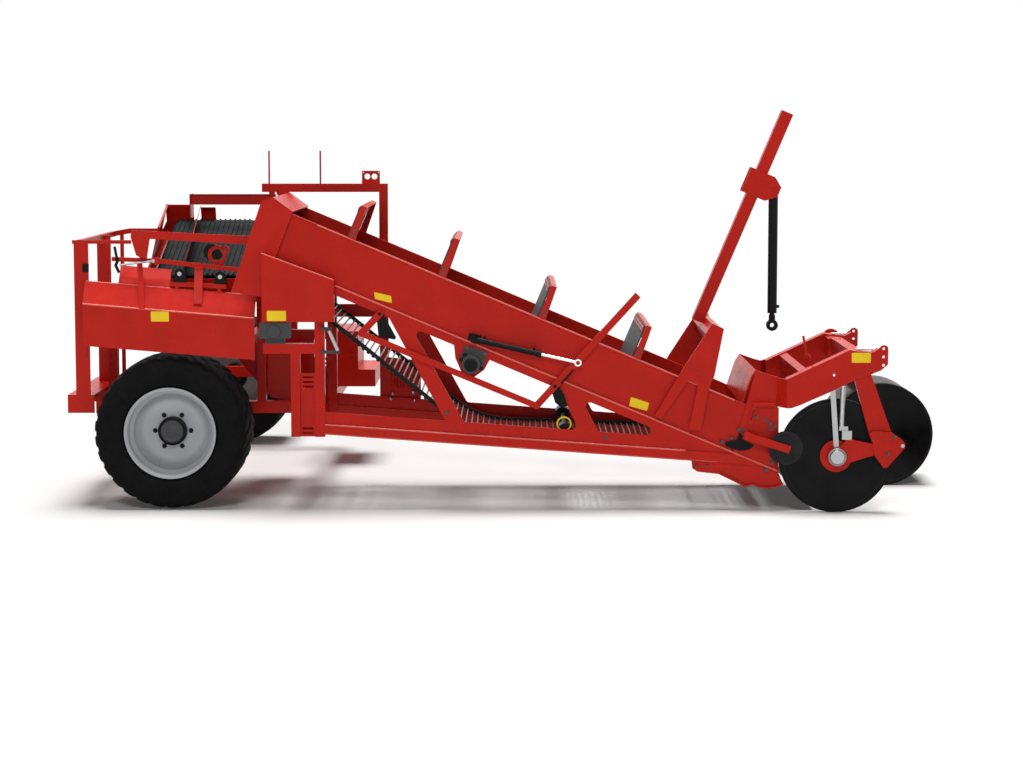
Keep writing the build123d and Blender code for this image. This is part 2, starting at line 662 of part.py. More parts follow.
def crank():
    """Handle of the head's locking screw, on its lug behind the first cross member."""
    y = CH_MID - 430
    handle = round_bar((4166, y, 1150), (4187, y, 1034), 8)
    collar = round_bar((4187, y, 1034), (4206, y, 1012), 10)
    shank = round_bar((4206, y, 1012), (4222, y, 944), CRANK_R)
    lug = block(4180, 4250, y - 25, y + 25, 920, 936)
    boss = round_bar((4226, y, 928), (4221, y, 948), 12)
    return [handle + collar + shank, lug + boss - round_bar((4206, y, 1012), (4222, y, 944), CRANK_R + SEAT_GAP)]


def trash_arm():
    """Bar on the right side plate that carries the small trash disc."""
    start = SMALL_D + SMALL_T + 5
    arm = bar_xz((3772, 508), (4068, 416), 50, *side_y(-1, start, start + 10))
    arm = arm + disc_y(3796, 500, 26, *side_y(-1, SIDE_D + HEAD_T, start))
    arm = arm + disc_y(SMALL_DISC_X, SMALL_DISC_Z, 10, *side_y(-1, SMALL_D - 1, start))
    return arm


def side_scrapers():
    """Dark bent plates low on both side plates, behind the trash disc."""
    outline = [(3654, 456), (3726, 466), (3744, 515), (3762, 515), (3766, 476), (3786, 462), (3841, 432), (3813, 408),
               (3780, 400), (3750, 398), (3692, 413), (3654, 432)]
    return Compound(children=[slab_xz(outline, *side_y(side, SIDE_D + HEAD_T, SIDE_D + HEAD_T + 8))
                              for side in (-1, 1)])


def trash_disc():
    """Small plain disc ahead of the coulter."""
    disc = disc_y(SMALL_DISC_X, SMALL_DISC_Z, SMALL_DISC_R, *side_y(-1, SMALL_D, SMALL_D + SMALL_T))
    return disc - disc_y(SMALL_DISC_X, SMALL_DISC_Z, 10 + BEARING_GAP, *side_y(-1, SMALL_D - 9, SMALL_D + 20))


def depth_drum():
    """Wide ridge drum with a deep dish in each end."""
    width = DRUM_Y1 - DRUM_Y0
    dish = DRUM_HUB_Y - DRUM_Y0
    bore = STUB_R + BEARING_GAP
    profile = [(bore, dish), (60, dish), (DRUM_R - 22, 0), (DRUM_R, 0), (DRUM_R, width), (DRUM_R - 22, width),
               (60, width - 60), (bore, width - 60)]
    shell = turned(profile, DRUM_X, DRUM_Y0, DRUM_R)
    hollow = [(68, dish + 16), (DRUM_R - 22, 14), (DRUM_R - 8, 8), (DRUM_R - 8, width - 8),
              (DRUM_R - 22, width - 14), (68, width - 76)]
    return shell - turned(hollow, DRUM_X, DRUM_Y0, DRUM_R)


def drum_arm():
    """Cross tube, leg and stub that carry the drum from the left head arm."""
    y_arm = CH_MID + ARM_OUT
    y1 = DRUM_Y1 + 10 + DRUM_ARM_T
    arm = disc_y(4570, 1000, 38, y_arm, y1)
    arm = arm + bar_xz((4570, 1000), (DRUM_X, DRUM_R), 90, y1 - DRUM_ARM_T, y1)
    arm = arm + disc_y(4570, 1000, 60, y1 - DRUM_ARM_T, y1)
    arm = arm + disc_y(DRUM_X, DRUM_R, 60, y1 - DRUM_ARM_T, y1)
    arm = arm + disc_y(DRUM_X, DRUM_R, STUB_R, DRUM_HUB_Y - 8, y1)
    return arm + disc_y(DRUM_X, DRUM_R, 40, DRUM_HUB_Y - 14, DRUM_HUB_Y - 4)


def digging_share():
    """Bevelled share between the walls, ahead of the web."""
    half = CH_HALF - FLANGE_W
    y0, y1 = side_y(1, -half, half)
    return slab_xz([(3982, 268), (3996, 300), (4215, 108), (4240, 70), (4196, 84)], y0, y1)


def skids():
    """Wear skids under both side frames: an inner plate with a curved runner along its foot."""
    foot = [(3616, 240), (3786, 157), (3834, 172), (3878, 154), (3926, 148), (3982, 153), (4037, 171)]
    back = [(3432, rail_low(3432) - 0.5), (3438, 279), (3473, 256)]
    front = [(4012, 236), (4003, el_low(4003) - 0.5), (3894, el_low(3894) - 0.9)]
    both = []
    for side in (-1, 1):
        skid = slab_xz(back + foot + front, *side_y(side, SIDE_D - 6, SIDE_D + 2))
        edge = [(x, z + 9) for x, z in reversed(foot)]
        both.append(skid + slab_xz(foot + edge, *side_y(side, SIDE_D - 6, SIDE_D + 20)))
    return Compound(children=both)


# ------------------------------------------------------------------ agitator drive and linkage
PIN_R = 8.0
BEAR_T = 12.0
PLATE_D = CH_HALF - 18 + FRAME_T
BAR_D = LEVER_D + LEVER_T + 5
EYE_D0 = LEVER_D + LEVER_T + 9
EYE_D1 = EYE_D0 + 20
EYE_D = (EYE_D0 + EYE_D1) / 2
LEVER_TOP_X = 3073.0
LEVER_TOP_Z = 1427.0
FOOT_X = LEVER_X + LEVER_DX
FOOT_Z = LEVER_Z + LEVER_DZ
LINK_FOOT_X = REAR_LINK_X + LEVER_DX
LINK_FOOT_Z = REAR_LINK_Z + LEVER_DZ
BARREL_R = 19.0
ROD_R = 11.0


def agitator_motor():
    """Hydraulic motor on its square flange."""
    d0 = PLATE_D
    flange = slab_xz([(1915, 1032), (1946, 1094), (2090, 1050), (2062, 950), (1960, 914), (1925, 960)],
                     *side_y(-1, d0, d0 + BEAR_T))
    drum = disc_y(MOTOR_X, MOTOR_Z, MOTOR_R, *side_y(-1, d0 + BEAR_T, d0 + 90))
    cap = disc_y(MOTOR_X, MOTOR_Z, MOTOR_R - 16, *side_y(-1, d0 + 90, d0 + 100))
    return flange + drum + cap


def link_bearings():
    """Bearing plates and pins for the lever and the rear link, and the cylinder's foot."""
    pieces = [cylinder_bracket()]
    y = side_y(-1, PLATE_D, PLATE_D + BEAR_T)
    out = LEVER_D + LEVER_T + 2
    shapes = [[(-26, 20), (30, -10), (56, -47), (84, -129), (43, -143), (2, -109), (-24, -30)],
              [(-26, 19), (24, -3), (44, -41), (106, -156), (99, -170), (-9, -150)]]
    for (x, z), shape in zip(((LEVER_X, LEVER_Z), (REAR_LINK_X, REAR_LINK_Z)), shapes):
        plate = slab_xz([(x + dx, z + dz) for dx, dz in shape], *y)
        pieces.append(plate + disc_y(x, z, 12, *side_y(-1, PLATE_D + BEAR_T, out)))
    return Compound(children=pieces)


def agitator_lever():
    """Long hand lever on the front pivot, with pins for the link bar and the cylinder."""
    y = side_y(-1, LEVER_D, LEVER_D + LEVER_T)
    lever = bar_xz((FOOT_X, FOOT_Z), (LEVER_TOP_X, LEVER_TOP_Z), 46, *y)
    lever = lever + disc_y(FOOT_X, FOOT_Z, 23, *y)
    lever = lever + bar_xz((LEVER_X, LEVER_Z), (ROD_EYE_X, ROD_EYE_Z), 30, *y)
    lever = lever - disc_y(LEVER_X, LEVER_Z, 12 + BEARING_GAP, *side_y(-1, LEVER_D - 5, LEVER_D + 20))
    lever = lever + disc_y(FOOT_X, FOOT_Z, PIN_R, *side_y(-1, LEVER_D, BAR_D + LEVER_T + 4))
    return lever + disc_y(ROD_EYE_X, ROD_EYE_Z, PIN_R, *side_y(-1, LEVER_D, EYE_D1 + 5))


STRUT_R = 5.0


def lever_strut():
    """Thin dark rod that stiffens the lever above its pivot."""
    y = CH_MID - (LEVER_D + LEVER_T + STRUT_R + SEAT_GAP)
    lean = math.atan2(LEVER_TOP_Z - FOOT_Z, LEVER_TOP_X - FOOT_X)
    ends = []
    for t in (40, 160):
        x = LEVER_X + t * math.cos(lean) + 17 * math.sin(lean)
        z = LEVER_Z + t * math.sin(lean) - 17 * math.cos(lean)
        ends.append((x, y, z))
    return round_bar(ends[0], ends[1], STRUT_R)


def link_bar():
    """Long flat bar between the lever's foot and the rear link."""
    bar = bar_xz((FOOT_X, FOOT_Z), (LINK_FOOT_X, LINK_FOOT_Z), 40, *side_y(-1, BAR_D, BAR_D + LEVER_T))
    for x, z in ((FOOT_X, FOOT_Z), (LINK_FOOT_X, LINK_FOOT_Z)):
        bar = bar + disc_y(x, z, 20, *side_y(-1, BAR_D, BAR_D + LEVER_T))
    bar = bar - disc_y(FOOT_X, FOOT_Z, PIN_R + BEARING_GAP, *side_y(-1, BAR_D - 5, BAR_D + 20))
    return bar - disc_y(LINK_FOOT_X, LINK_FOOT_Z, PIN_R + 0.5, *side_y(-1, BAR_D - 5, BAR_D + 20))


def rear_link():
    """Short link at the rear pivot."""
    y = side_y(-1, LEVER_D, LEVER_D + LEVER_T)
    link = bar_xz((LINK_FOOT_X, LINK_FOOT_Z), (REAR_LINK_X, REAR_LINK_Z), 46, *y)
    for x, z in ((LINK_FOOT_X, LINK_FOOT_Z), (REAR_LINK_X, REAR_LINK_Z)):
        link = link + disc_y(x, z, 23, *y)
    link = link - disc_y(REAR_LINK_X, REAR_LINK_Z, 12 + BEARING_GAP, *side_y(-1, LEVER_D - 5, LEVER_D + 20))
    return link + disc_y(LINK_FOOT_X, LINK_FOOT_Z, PIN_R, *side_y(-1, LEVER_D, BAR_D + LEVER_T + 4))


def cylinder_bracket():
    """Foot and pin on the wall for the cylinder's rear eye."""
    sheet = CH_HALF - FLANGE_W + WALL_T
    foot = slab_xz([(BARREL_X - 40, BARREL_Z - 8), (BARREL_X + 40, BARREL_Z - 28), (BARREL_X + 52, BARREL_Z + 16),
                    (BARREL_X - 28, BARREL_Z + 36)], *side_y(-1, sheet, sheet + 10))
    boss = disc_y(BARREL_X, BARREL_Z, 18, *side_y(-1, sheet, EYE_D0 - 2))
    return foot + boss + disc_y(BARREL_X, BARREL_Z, 10, *side_y(-1, sheet, EYE_D1 + 5))


def cylinder_line(t):
    """A place on the lever cylinder's axis, t millimetres ahead of its rear eye."""
    length = math.hypot(ROD_EYE_X - BARREL_X, ROD_EYE_Z - BARREL_Z)
    return (BARREL_X + (ROD_EYE_X - BARREL_X) * t / length, CH_MID - EYE_D,
            BARREL_Z + (ROD_EYE_Z - BARREL_Z) * t / length)


def lever_barrel():
    """Cylinder tube with its rear eye."""
    body = round_bar(cylinder_line(22), cylinder_line(452), BARREL_R)
    body = body + disc_y(BARREL_X, BARREL_Z, 24, *side_y(-1, EYE_D0, EYE_D1))
    body = body - round_bar(cylinder_line(60), cylinder_line(460), ROD_R + 0.5)
    return body - disc_y(BARREL_X, BARREL_Z, 10 + BEARING_GAP, *side_y(-1, EYE_D0 - 20, EYE_D1 + 20))


def lever_rod():
    """Piston rod with its eye on the lever's pin."""
    length = math.hypot(ROD_EYE_X - BARREL_X, ROD_EYE_Z - BARREL_Z)
    rod = round_bar(cylinder_line(130), cylinder_line(length - 16), ROD_R)
    rod = rod + disc_y(ROD_EYE_X, ROD_EYE_Z, 24, *side_y(-1, EYE_D0, EYE_D1))
    return rod - disc_y(ROD_EYE_X, ROD_EYE_Z, PIN_R + 5, *side_y(-1, EYE_D0 - 5, EYE_D1 + 5))


# ------------------------------------------------------------------ hood, guard and columns
HOOD_LINE = [(621, 2040), (415, 1446), (617, 1413), (718, 1695), (825, 1970), (696, 2064)]
HOOD_T = 8.0
GUARD_LINE = [(622, 1704), (1093, 1528), (1091, 1254), (622, 1254)]
GUARD_INSIDE = [(628, 1695), (1087, 1524), (1085, 1260), (628, 1260)]
GUARD_DEEP = 60.0


def hood():
    """Two side plates, the roof strip and the back plate over the drive roller."""
    y0, y1 = side_y(1, -CH_HALF - HOOD_T, CH_HALF + HOOD_T)
    shell = slab_xz([(690, 2059), (696, 2064), (825, 1970), (822, 1962)], y0, y1)
    shell = shell + slab_xz([(621, 2040), (696, 2064), (694, 2057), (624, 2034)], y0, y1)
    shell = shell + slab_xz([(621, 2040), (628, 2038), (558, 1838), (551, 1840)], y0, y1)
    for side in (-1, 1):
        ya, yb = side_y(side, CH_HALF, CH_HALF + HOOD_T)
        shell = shell + slab_xz(HOOD_LINE, ya, yb)
    return shell


def drive_guard():
    """Folded cover over the web drive on the right side."""
    start = CH_HALF + HOOD_T
    cover = slab_xz(GUARD_LINE, *side_y(-1, start, start + GUARD_DEEP))
    return cover - slab_xz(GUARD_INSIDE, *side_y(-1, start - 1, start + GUARD_DEEP - 5))


SLOTS = [506.0, 536.0, 812.0, 842.0, 872.0]
COLUMN_IN = CH_HALF - PILLAR_DEEP
COLUMN_BEAM_Z0 = 1040.0
COLUMN_BEAM_Z1 = 1105.0
COLUMN_STEP_Z = 1200.0


def rear_column(side):
    """Post behind the side frame: tall tube, slotted middle plate and short rear flange."""
    y0, y1 = side_y(side, COLUMN_IN, CH_HALF)
    front = RAIL_X0
    back = RAIL_X0 - PILLAR_TUBE
    column = block(back, front, y0, y1, PILLAR_Z0, COLUMN_STEP_Z)
    ya, yb = side_y(side, CH_HALF - RAIL_BOX_W, CH_HALF)
    column = column + slab_xz([(back, COLUMN_STEP_Z - 1), (front, COLUMN_STEP_Z - 1), (front, el_low(front)),
                               (back, el_low(back))], ya, yb)
    column = column + block(PILLAR_X0, PILLAR_X0 + 60, y0, y1, PILLAR_Z0, COLUMN_BEAM_Z0)
    column = column + block(620, back, y0, y1, COLUMN_BEAM_Z0, COLUMN_BEAM_Z1)
    ya, yb = side_y(side, CH_HALF - 30, CH_HALF - 22)
    plate = block(PILLAR_X0 + 60, back, ya, yb, PILLAR_Z0, 907)
    for z in SLOTS:
        plate = plate - block(PILLAR_X0 + 74, back - 14, ya - 1, yb + 1, z, z + 16)
    return column + plate


# ------------------------------------------------------------------ chassis, axle and wheels
CHASSIS_RAIL_Y = 1060.0
CHASSIS_RAIL_W = 80.0
CHASSIS_Z0 = 566.0
CHASSIS_Z1 = 646.0
CHASSIS_BACK = -600.0
BEAM_X0 = 862.0
BEAM_X1 = 956.0
BEAM_Z1 = 590.0
AXLE_BEAM = 110.0


def chassis():
    """Two long rails, the rear cross member and the front cross beam to the columns."""
    frame = block(BEAM_X0, BEAM_X1, CH_MID - COLUMN_IN, CH_MID + COLUMN_IN, PILLAR_Z0, BEAM_Z1)
    frame = frame + block(BEAM_X0, BEAM_X1, CH_MID + CH_HALF, CHASSIS_RAIL_Y, PILLAR_Z0, BEAM_Z1)
    for side in (-1, 1):
        y0, y1 = sorted((side * CHASSIS_RAIL_Y, side * (CHASSIS_RAIL_Y - CHASSIS_RAIL_W)))
        frame = frame + block(CHASSIS_BACK, BEAM_X0, y0, y1, CHASSIS_Z0, CHASSIS_Z1)
    rear = block(CHASSIS_BACK, CHASSIS_BACK + 80, -CHASSIS_RAIL_Y, CHASSIS_RAIL_Y, CHASSIS_Z0, CHASSIS_Z1)
    return frame + rear


def axle_beam():
    """Square axle beam with a round stub at each end."""
    half = AXLE_BEAM / 2
    beam = block(-half, half, -CHASSIS_RAIL_Y, CHASSIS_RAIL_Y, CHASSIS_Z0 - AXLE_BEAM, CHASSIS_Z0)
    reach = WHEEL_Y + 125
    return beam + disc_y(0, TYRE_R, AXLE_R, -reach, reach)


def tyre(side):
    """Wide flotation tyre, out to the tips of its tread."""
    w = TYRE_W / 2
    seat = RIM_SEAT_R
    half = [(seat, w - 38), (306, w - 27), (316, w - 13), (330, w - 4), (400, w), (455, w - 4), (490, w - 22),
            (505, w - 60), (TYRE_R, w - 120)]
    profile = half + [(r, -o) for r, o in reversed(half)]
    return turned(profile, 0, side * WHEEL_Y, TYRE_R)


def rim(side):
    """Steel rim with its dished centre and six stud holes."""
    w = TYRE_W / 2
    seat, inner, lip = RIM_SEAT_R, RIM_SEAT_R - RIM_T, RIM_FLANGE_R
    profile = [(lip, -(w - 10)), (lip, -(w - 20)), (seat, -(w - 28)), (seat, w - 28), (lip, w - 20), (lip, w - 10),
               (inner, w - 16), (inner, DISH_IN), (160, DISH_IN - 18), (90, DISH_IN - 18), (90, DISH_IN - 30),
               (162, DISH_IN - 30), (inner, DISH_IN - 12), (inner, -(w - 16))]
    body = turned([(r, side * o) for r, o in profile], 0, side * WHEEL_Y, TYRE_R)
    for k in range(6):
        a = math.radians(60 * k)
        x, z = STUD_PCD / 2 * math.cos(a), TYRE_R + STUD_PCD / 2 * math.sin(a)
        y0, y1 = sorted((side * (WHEEL_Y + DISH_IN - 40), side * (WHEEL_Y + DISH_IN)))
        body = body - disc_y(x, z, 9, y0, y1)
    return body


def hub(side):
    """Bearing hub and its closed cap."""
    face = DISH_IN - 30
    front = DISH_IN - 18
    bore = AXLE_R + BEARING_GAP
    profile = [(bore, -235), (72, -235), (72, face - 20), (105, face - 20), (105, face), (88, face), (88, front),
               (HUB_R, front), (HUB_R, front + 46), (HUB_R - 18, front + 58), (0, front + 58), (0, front + 44),
               (bore, front + 44)]
    return turned([(r, side * o) for r, o in profile], 0, side * WHEEL_Y, TYRE_R)


# ------------------------------------------------------------------ rear body: table, conveyor, platform
TABLE_TAN = 0.084
TABLE_X0 = -559.0
TABLE_X1 = 565.0
SHEET = 6.0
ARM_Z = 1100.0


def sorting_table():
    """Folded side sheet that falls toward the front: skirt, sloped shelf and lip."""
    section = [(-1640, 1091), (-1640, 1367), (-1540, 1508), (-1512, 1508), (-1512, 1502), (-1537, 1502),
               (-1634, 1365), (-1634, 1091)]
    face = make_face(Polyline(*[(TABLE_X0, y, z) for y, z in section], close=True))
    length = math.hypot(TABLE_X1 - TABLE_X0, (TABLE_X1 - TABLE_X0) * TABLE_TAN)
    table = extrude(face, amount=length, dir=(1, 0, -TABLE_TAN))
    guide = panel((-345, -1516, lip_z(-345) - 3), (-8, -1516, lip_z(-8) - 3), (-8, -1422, 1575), 4)
    return table + guide + panel((-345, -1422, 1604), (-8, -1422, 1575), (-8, -1414, 1545), 4)


def lip_z(x):
    """Height of the table lip's top at x."""
    return 1508 - TABLE_TAN * (x - TABLE_X0)


def rod_bracket(x, y0, y1, z0, z1):
    """A small block that ties a side bar to the hood's inner face."""
    return block(x, x + 30, y0, y1, z0, z1)


def side_bars():
    """Bars, brackets and shelf beside the conveyor's near end, and the bare drive flange on them."""
    lower = bar_xz((-389, 1652), (-94, 1640), 28, -1506, -1494)
    lower = lower + bar_xz((-94, 1640), (575, 1568), 30, -1506, -1494) + disc_y(-94, 1639, 26, -1512, -1494)
    lower = lower + rod_bracket(545, CH_MID - CH_HALF, -1494, 1556, 1586)
    rail = slab_xz([(-253, 1800), (-247, 1844), (515, 1807), (590, 1803), (590, 1750), (498, 1752), (-129, 1787),
                    (-149, 1659), (-218, 1678)], -1556, -1544)
    rail = rail + rod_bracket(560, CH_MID - CH_HALF, -1544, 1765, 1795)
    rail = rail + block(-205, -160, -1544, -1506, 1668, 1690) + block(-205, -160, -1512, -1506, 1640, 1690)
    flange = disc_y(300, 1676, 62, -1456, -1444) + disc_y(352, 1709, 28, -1458, -1440)
    flange = flange + bar_xz((352, 1709), (318, 1592), 26, -1456, -1444) + block(305, 331, -1496, -1444, 1586, 1606)
    flange = flange - disc_y(300, 1676, 38, -1460, -1440) - disc_y(352, 1709, 8, -1460, -1438)
    shelf = slab_xz([(-4, 1502), (366, 1486), (366, 1456), (-4, 1474)], -1534, -1478)
    for x in (30, 310):
        shelf = shelf + block(x, x + 24, -1534, -1514, lip_z(x), 1478)
    strap = panel((163, -1536, 1600), (218, -1536, 1600), (218, -1612, 1364), 5)
    strap = strap + block(163, 218, -1546, -1504, 1586, 1602)
    slat = panel((-222, -1512, 1636), (-186, -1512, 1636), (-150, -1652, 1338), 5)
    slat = slat + block(-216, -192, -1514, -1505, 1626, 1648)
    return Compound(children=[lower + rail + flange + strap + slat, shelf])


PILLOWS = [(61.0, 1556.0), (328.0, 1536.0)]
PILLOW_BORE = 14.0


def pillow_blocks():
    """Dark bearing blocks on the shelf, the control handle and the clip on the first post."""
    pieces = []
    for x, z in PILLOWS:
        foot = 1502 - 16.0 / 370 * (x + 4)
        body = slab_xz([(x - 42, foot + 2), (x + 42, foot + 2), (x + 42, foot + 16), (x + 34, z), (x - 34, z),
                        (x - 42, foot + 16)], -1532, -1490) + disc_y(x, z, 35, -1532, -1490)
        pieces.append(body - disc_y(x, z, PILLOW_BORE + BEARING_GAP, -1540, -1480))
    y = -1518
    handle = round_bar((-366, y, 1735), (-348, y, 1632), 9)
    handle = handle + round_bar((-348, y, 1638), (-362, y, 1610), 10) + round_bar((-362, y, 1614), (-338, y, 1562), 10)
    pieces.append(handle + disc_y(-352, 1650, 12, -1520, -1506))
    pieces.append(block(-582, -541, PLAT_Y0 - 12, PLAT_Y0, 1566, 1619))
    return pieces


def side_pins():
    """Stub shafts in the bearing blocks, the control rod, the drive disc behind the flange and the damper."""
    pieces = [disc_y(x, z, PILLOW_BORE, -1538, -1484) for x, z in PILLOWS]
    pieces.append(round_bar((-334, -1526, 1612), (-112, -1526, 1641), 7) + disc_y(-112, 1641, 12, -1533, -1512))
    pieces.append(disc_y(262, 1694, 54, -1444, -1428) + disc_y(300, 1676, 30, -1448, -1428))
    d = -(CH_HALF + 33)
    pieces.append(round_bar((1056, CH_MID + d, 1194), (1112, CH_MID + d, 1064), 13))
    return pieces




POSTS = [(-510.0, -450.0), (505.0, 565.0)]
POST_TOP = 1390.0


def table_frame():
    """Four posts on the chassis, the outriggers to the table and the top rails."""
    frame = None
    for side in (-1, 1):
        for x0, x1 in POSTS:
            y0, y1 = sorted((side * (CHASSIS_RAIL_Y - 10), side * (CHASSIS_RAIL_Y - 70)))
            post = block(x0, x1, y0, y1, CHASSIS_Z1, POST_TOP)
            frame = post if frame is None else frame + post
        frame = frame + block(POSTS[0][0], POSTS[1][1], y0, y1, POST_TOP - 60, POST_TOP)
    for x0, x1 in POSTS:
        frame = frame + block(x0, x1, -1634, -(CHASSIS_RAIL_Y - 10), ARM_Z, ARM_Z + 60)
        frame = frame + block(x0, x1, -(CHASSIS_RAIL_Y - 70), CHASSIS_RAIL_Y - 70, POST_TOP - 60, POST_TOP)
    return frame


CONV_TILT = 20.0
CONV_Y = -1500.0
CONV_Z = 1500.0
CONV_LEN = 1080.0
CONV_X0 = -90.0
CONV_X1 = 400.0
CONV_ROLL = 46.0
CONV_NEAR = 100.0
CONV_BELT = 8.0
RIB = 10.0


def tilted(shape):
    """Moves a shape from the conveyor's own frame to the machine."""
    return Pos(0, CONV_Y, CONV_Z) * Rot(CONV_TILT, 0, 0) * shape


def conveyor_belt():
    """Ribbed belt round its two rollers, tilted up toward the left side."""
    r = CONV_ROLL
    zc = -r - CONV_BELT
    right = arc_points(CONV_X1, zc, r + CONV_BELT, 90, -90, 15)
    left = arc_points(CONV_X0, zc, r + CONV_BELT, -90, -270, 15)
    outer = right + left
    inner = arc_points(CONV_X1, zc, r, 90, -90, 15) + arc_points(CONV_X0, zc, r, -90, -270, 15)
    belt = slab_xz(outer, CONV_NEAR + 10, CONV_LEN - 10) - slab_xz(inner, CONV_NEAR, CONV_LEN)
    ribs = []
    for k in range(15):
        x = CONV_X0 + 4 + k * (CONV_X1 - CONV_X0 - 8) / 14
        ribs.append(block(x - 5, x + 5, CONV_NEAR + 14, CONV_LEN - 14, -2, RIB))
    return tilted(belt.fuse(*ribs))


def conveyor_rollers():
    """The belt's two rollers on their shafts."""
    zc = -CONV_ROLL - CONV_BELT
    rolls = []
    for x in (CONV_X0, CONV_X1):
        roll = disc_y(x, zc, CONV_ROLL - 2 * SEAT_GAP, CONV_NEAR + 14, CONV_LEN - 14)
        roll = roll + disc_y(x, zc, 18, CONV_NEAR, CONV_LEN)
        rolls.append(tilted(roll))
    return rolls


# where the guards end at the far end plate, and the way that each runs to it
CONV_END = CONV_Y + CONV_LEN * math.cos(math.radians(CONV_TILT)) - 20
GUARD_WAY = (-91.0, 899.0, 121.0)
DIVIDER_WAY = (-75.0, 935.0, 193.0)


def to_far_end(point, way):
    """The place where a line from the point meets the conveyor's far end."""
    share = (CONV_END - point[1]) / way[1]
    return tuple(p + w * share for p, w in zip(point, way))


def conveyor_frame():
    """End plates, back guard with its rolled edge, divider, top bar and cross ties of the tilted conveyor."""
    x0, x1 = CONV_X0 - CONV_ROLL - 60, CONV_X1 + CONV_ROLL + 44
    frame = block(x0, x1, CONV_NEAR - SHEET, CONV_NEAR, -130, -20)
    frame = frame + block(x0, x1, CONV_LEN, CONV_LEN + SHEET, -130, -10)
    frame = frame + block(x0, 0, CONV_LEN, CONV_LEN + SHEET, -20, 110)
    frame = frame + block(51, 156, CONV_LEN, CONV_LEN + SHEET, -20, 90)
    frame = frame + block(x0 - SHEET, x0, CONV_NEAR - SHEET, CONV_LEN + SHEET, -130, -20)
    for x in (x0 + 15, x1 - 15):
        frame = frame + block(x - 15, x + 15, CONV_NEAR, CONV_LEN, -130, -70)
    for x in (CONV_X0 + 120, CONV_X1 - 120):
        frame = frame + block(x - 20, x + 20, CONV_NEAR, CONV_LEN, -80, -40)
    frame = tilted(frame)
    guard, edge, foot = (-143, -1404, 1631), (-94, -1404, 1851), (129, -1440, 1775)
    frame = frame + panel((-198, -1404, 1455), guard, to_far_end(guard, GUARD_WAY), 5)
    frame = frame + panel(guard, edge, to_far_end(edge, GUARD_WAY), 5)
    frame = frame + round_bar(edge, to_far_end(edge, GUARD_WAY), 9)
    frame = frame + panel((62, -1440, 1545), foot, to_far_end(foot, DIVIDER_WAY), 4, 0.36)
    frame = frame + block(-4, 595, -622, -610, 1978, 2052) + block(-4, 595, -640, -610, 2046, 2052)
    frame = frame + block(-8, 0, -640, CONV_END + 5, 1885, 2052) + block(550, 590, -640, -610, 2052, GANTRY_Z0)
    y1 = -(CHASSIS_RAIL_Y - 70)
    for x in (x0 + 15, x1 - 15):
        frame = frame + block(x - 15, x + 15, y1 - 60, y1, POST_TOP, 1560)
    return frame


PLAT_X0 = -697.0
PLAT_X1 = -520.0
PLAT_Y0 = -1500.0
PLAT_Y1 = -370.0
PLAT_Z0 = 628.0
PLAT_Z1 = 749.0
DECK_T = 20.0


def platform():
    """Rear walkway: deck, rim, ends and the two bearers on the chassis."""
    deck = block(PLAT_X0, PLAT_X1, PLAT_Y0, PLAT_Y1, PLAT_Z1 - DECK_T, PLAT_Z1)
    deck = deck + block(PLAT_X0, PLAT_X0 + 8, PLAT_Y0, PLAT_Y1, PLAT_Z0, PLAT_Z1)
    for y, z0 in ((PLAT_Y0, PLAT_Z0), (PLAT_Y1 - 8, CHASSIS_Z1)):
        deck = deck + block(PLAT_X0, PLAT_X1, y, y + 8, z0, PLAT_Z1)
    for y in (-CHASSIS_RAIL_Y, PLAT_Y1 - CHASSIS_RAIL_W):
        deck = deck + block(PLAT_X0, PLAT_X1, y, y + CHASSIS_RAIL_W, CHASSIS_Z1, PLAT_Z1)
    return deck


RAILING_Y = [-1494.0, -740.0]
RAILING_X = -600.0
RAILING_TOP = 1778.0
RAILING_TUBE = 36.0
CORNER_Y = -386.0
BEND_X = -104.0


def railing():
    """Two flat posts, the thin corner post, the top rail with its returns and the knee rail."""
    half = RAILING_TUBE / 2
    low = RAILING_TOP - RAILING_TUBE
    rails = block(RAILING_X - half, RAILING_X + half, RAILING_Y[0] - 6, CORNER_Y + half, low, RAILING_TOP)
    rails = rails + block(RAILING_X - half, RAILING_X + half, RAILING_Y[0], CORNER_Y, 1230, 1230 + RAILING_TUBE)
    for y in RAILING_Y:
        rails = rails + block(RAILING_X - 40, RAILING_X + 55, y - 6, y + 6, PLAT_Z1, RAILING_TOP - 10)
    rails = rails + block(-545, -521, CORNER_Y - 12, CORNER_Y + 12, PLAT_Z1, RAILING_TOP - 4)
    rails = rails + block(RAILING_X, -533, CORNER_Y - 12, CORNER_Y + 12, 1236, 1260)
    rails = rails + block(RAILING_X - 50, -261, RAILING_Y[0] - 6, RAILING_Y[0] + 6, low + 10, RAILING_TOP - 2)
    rise = slab_xz([(RAILING_X, low), (RAILING_X, RAILING_TOP), (-480, RAILING_TOP + 22), (BEND_X - 40, RAILING_TOP + 22),
                    (BEND_X, RAILING_TOP), (BEND_X + 14, RAILING_TOP - 50), (BEND_X + 14, 1690), (BEND_X - 22, 1690),
                    (BEND_X - 22, RAILING_TOP - 54), (BEND_X - 52, low + 22), (-480, low + 22)],
                   CORNER_Y - half, CORNER_Y + half)
    rails = rails + rise
    return rails + block(BEND_X - 22, BEND_X + 14, -434, CORNER_Y, 1752, 1774)


GANTRY_Y0 = CH_MID + CH_HALF + HOOD_T
GANTRY_W = 60.0
GANTRY_Z0 = 2067.0
GANTRY_Z1 = 2125.0
PIN_TOP = 2354.0
LAMP_TOP = 2215.0
GANTRY_X0 = 500.0
GANTRY_X1 = 1380.0
LAMP_PINS = [549.0, 908.0]


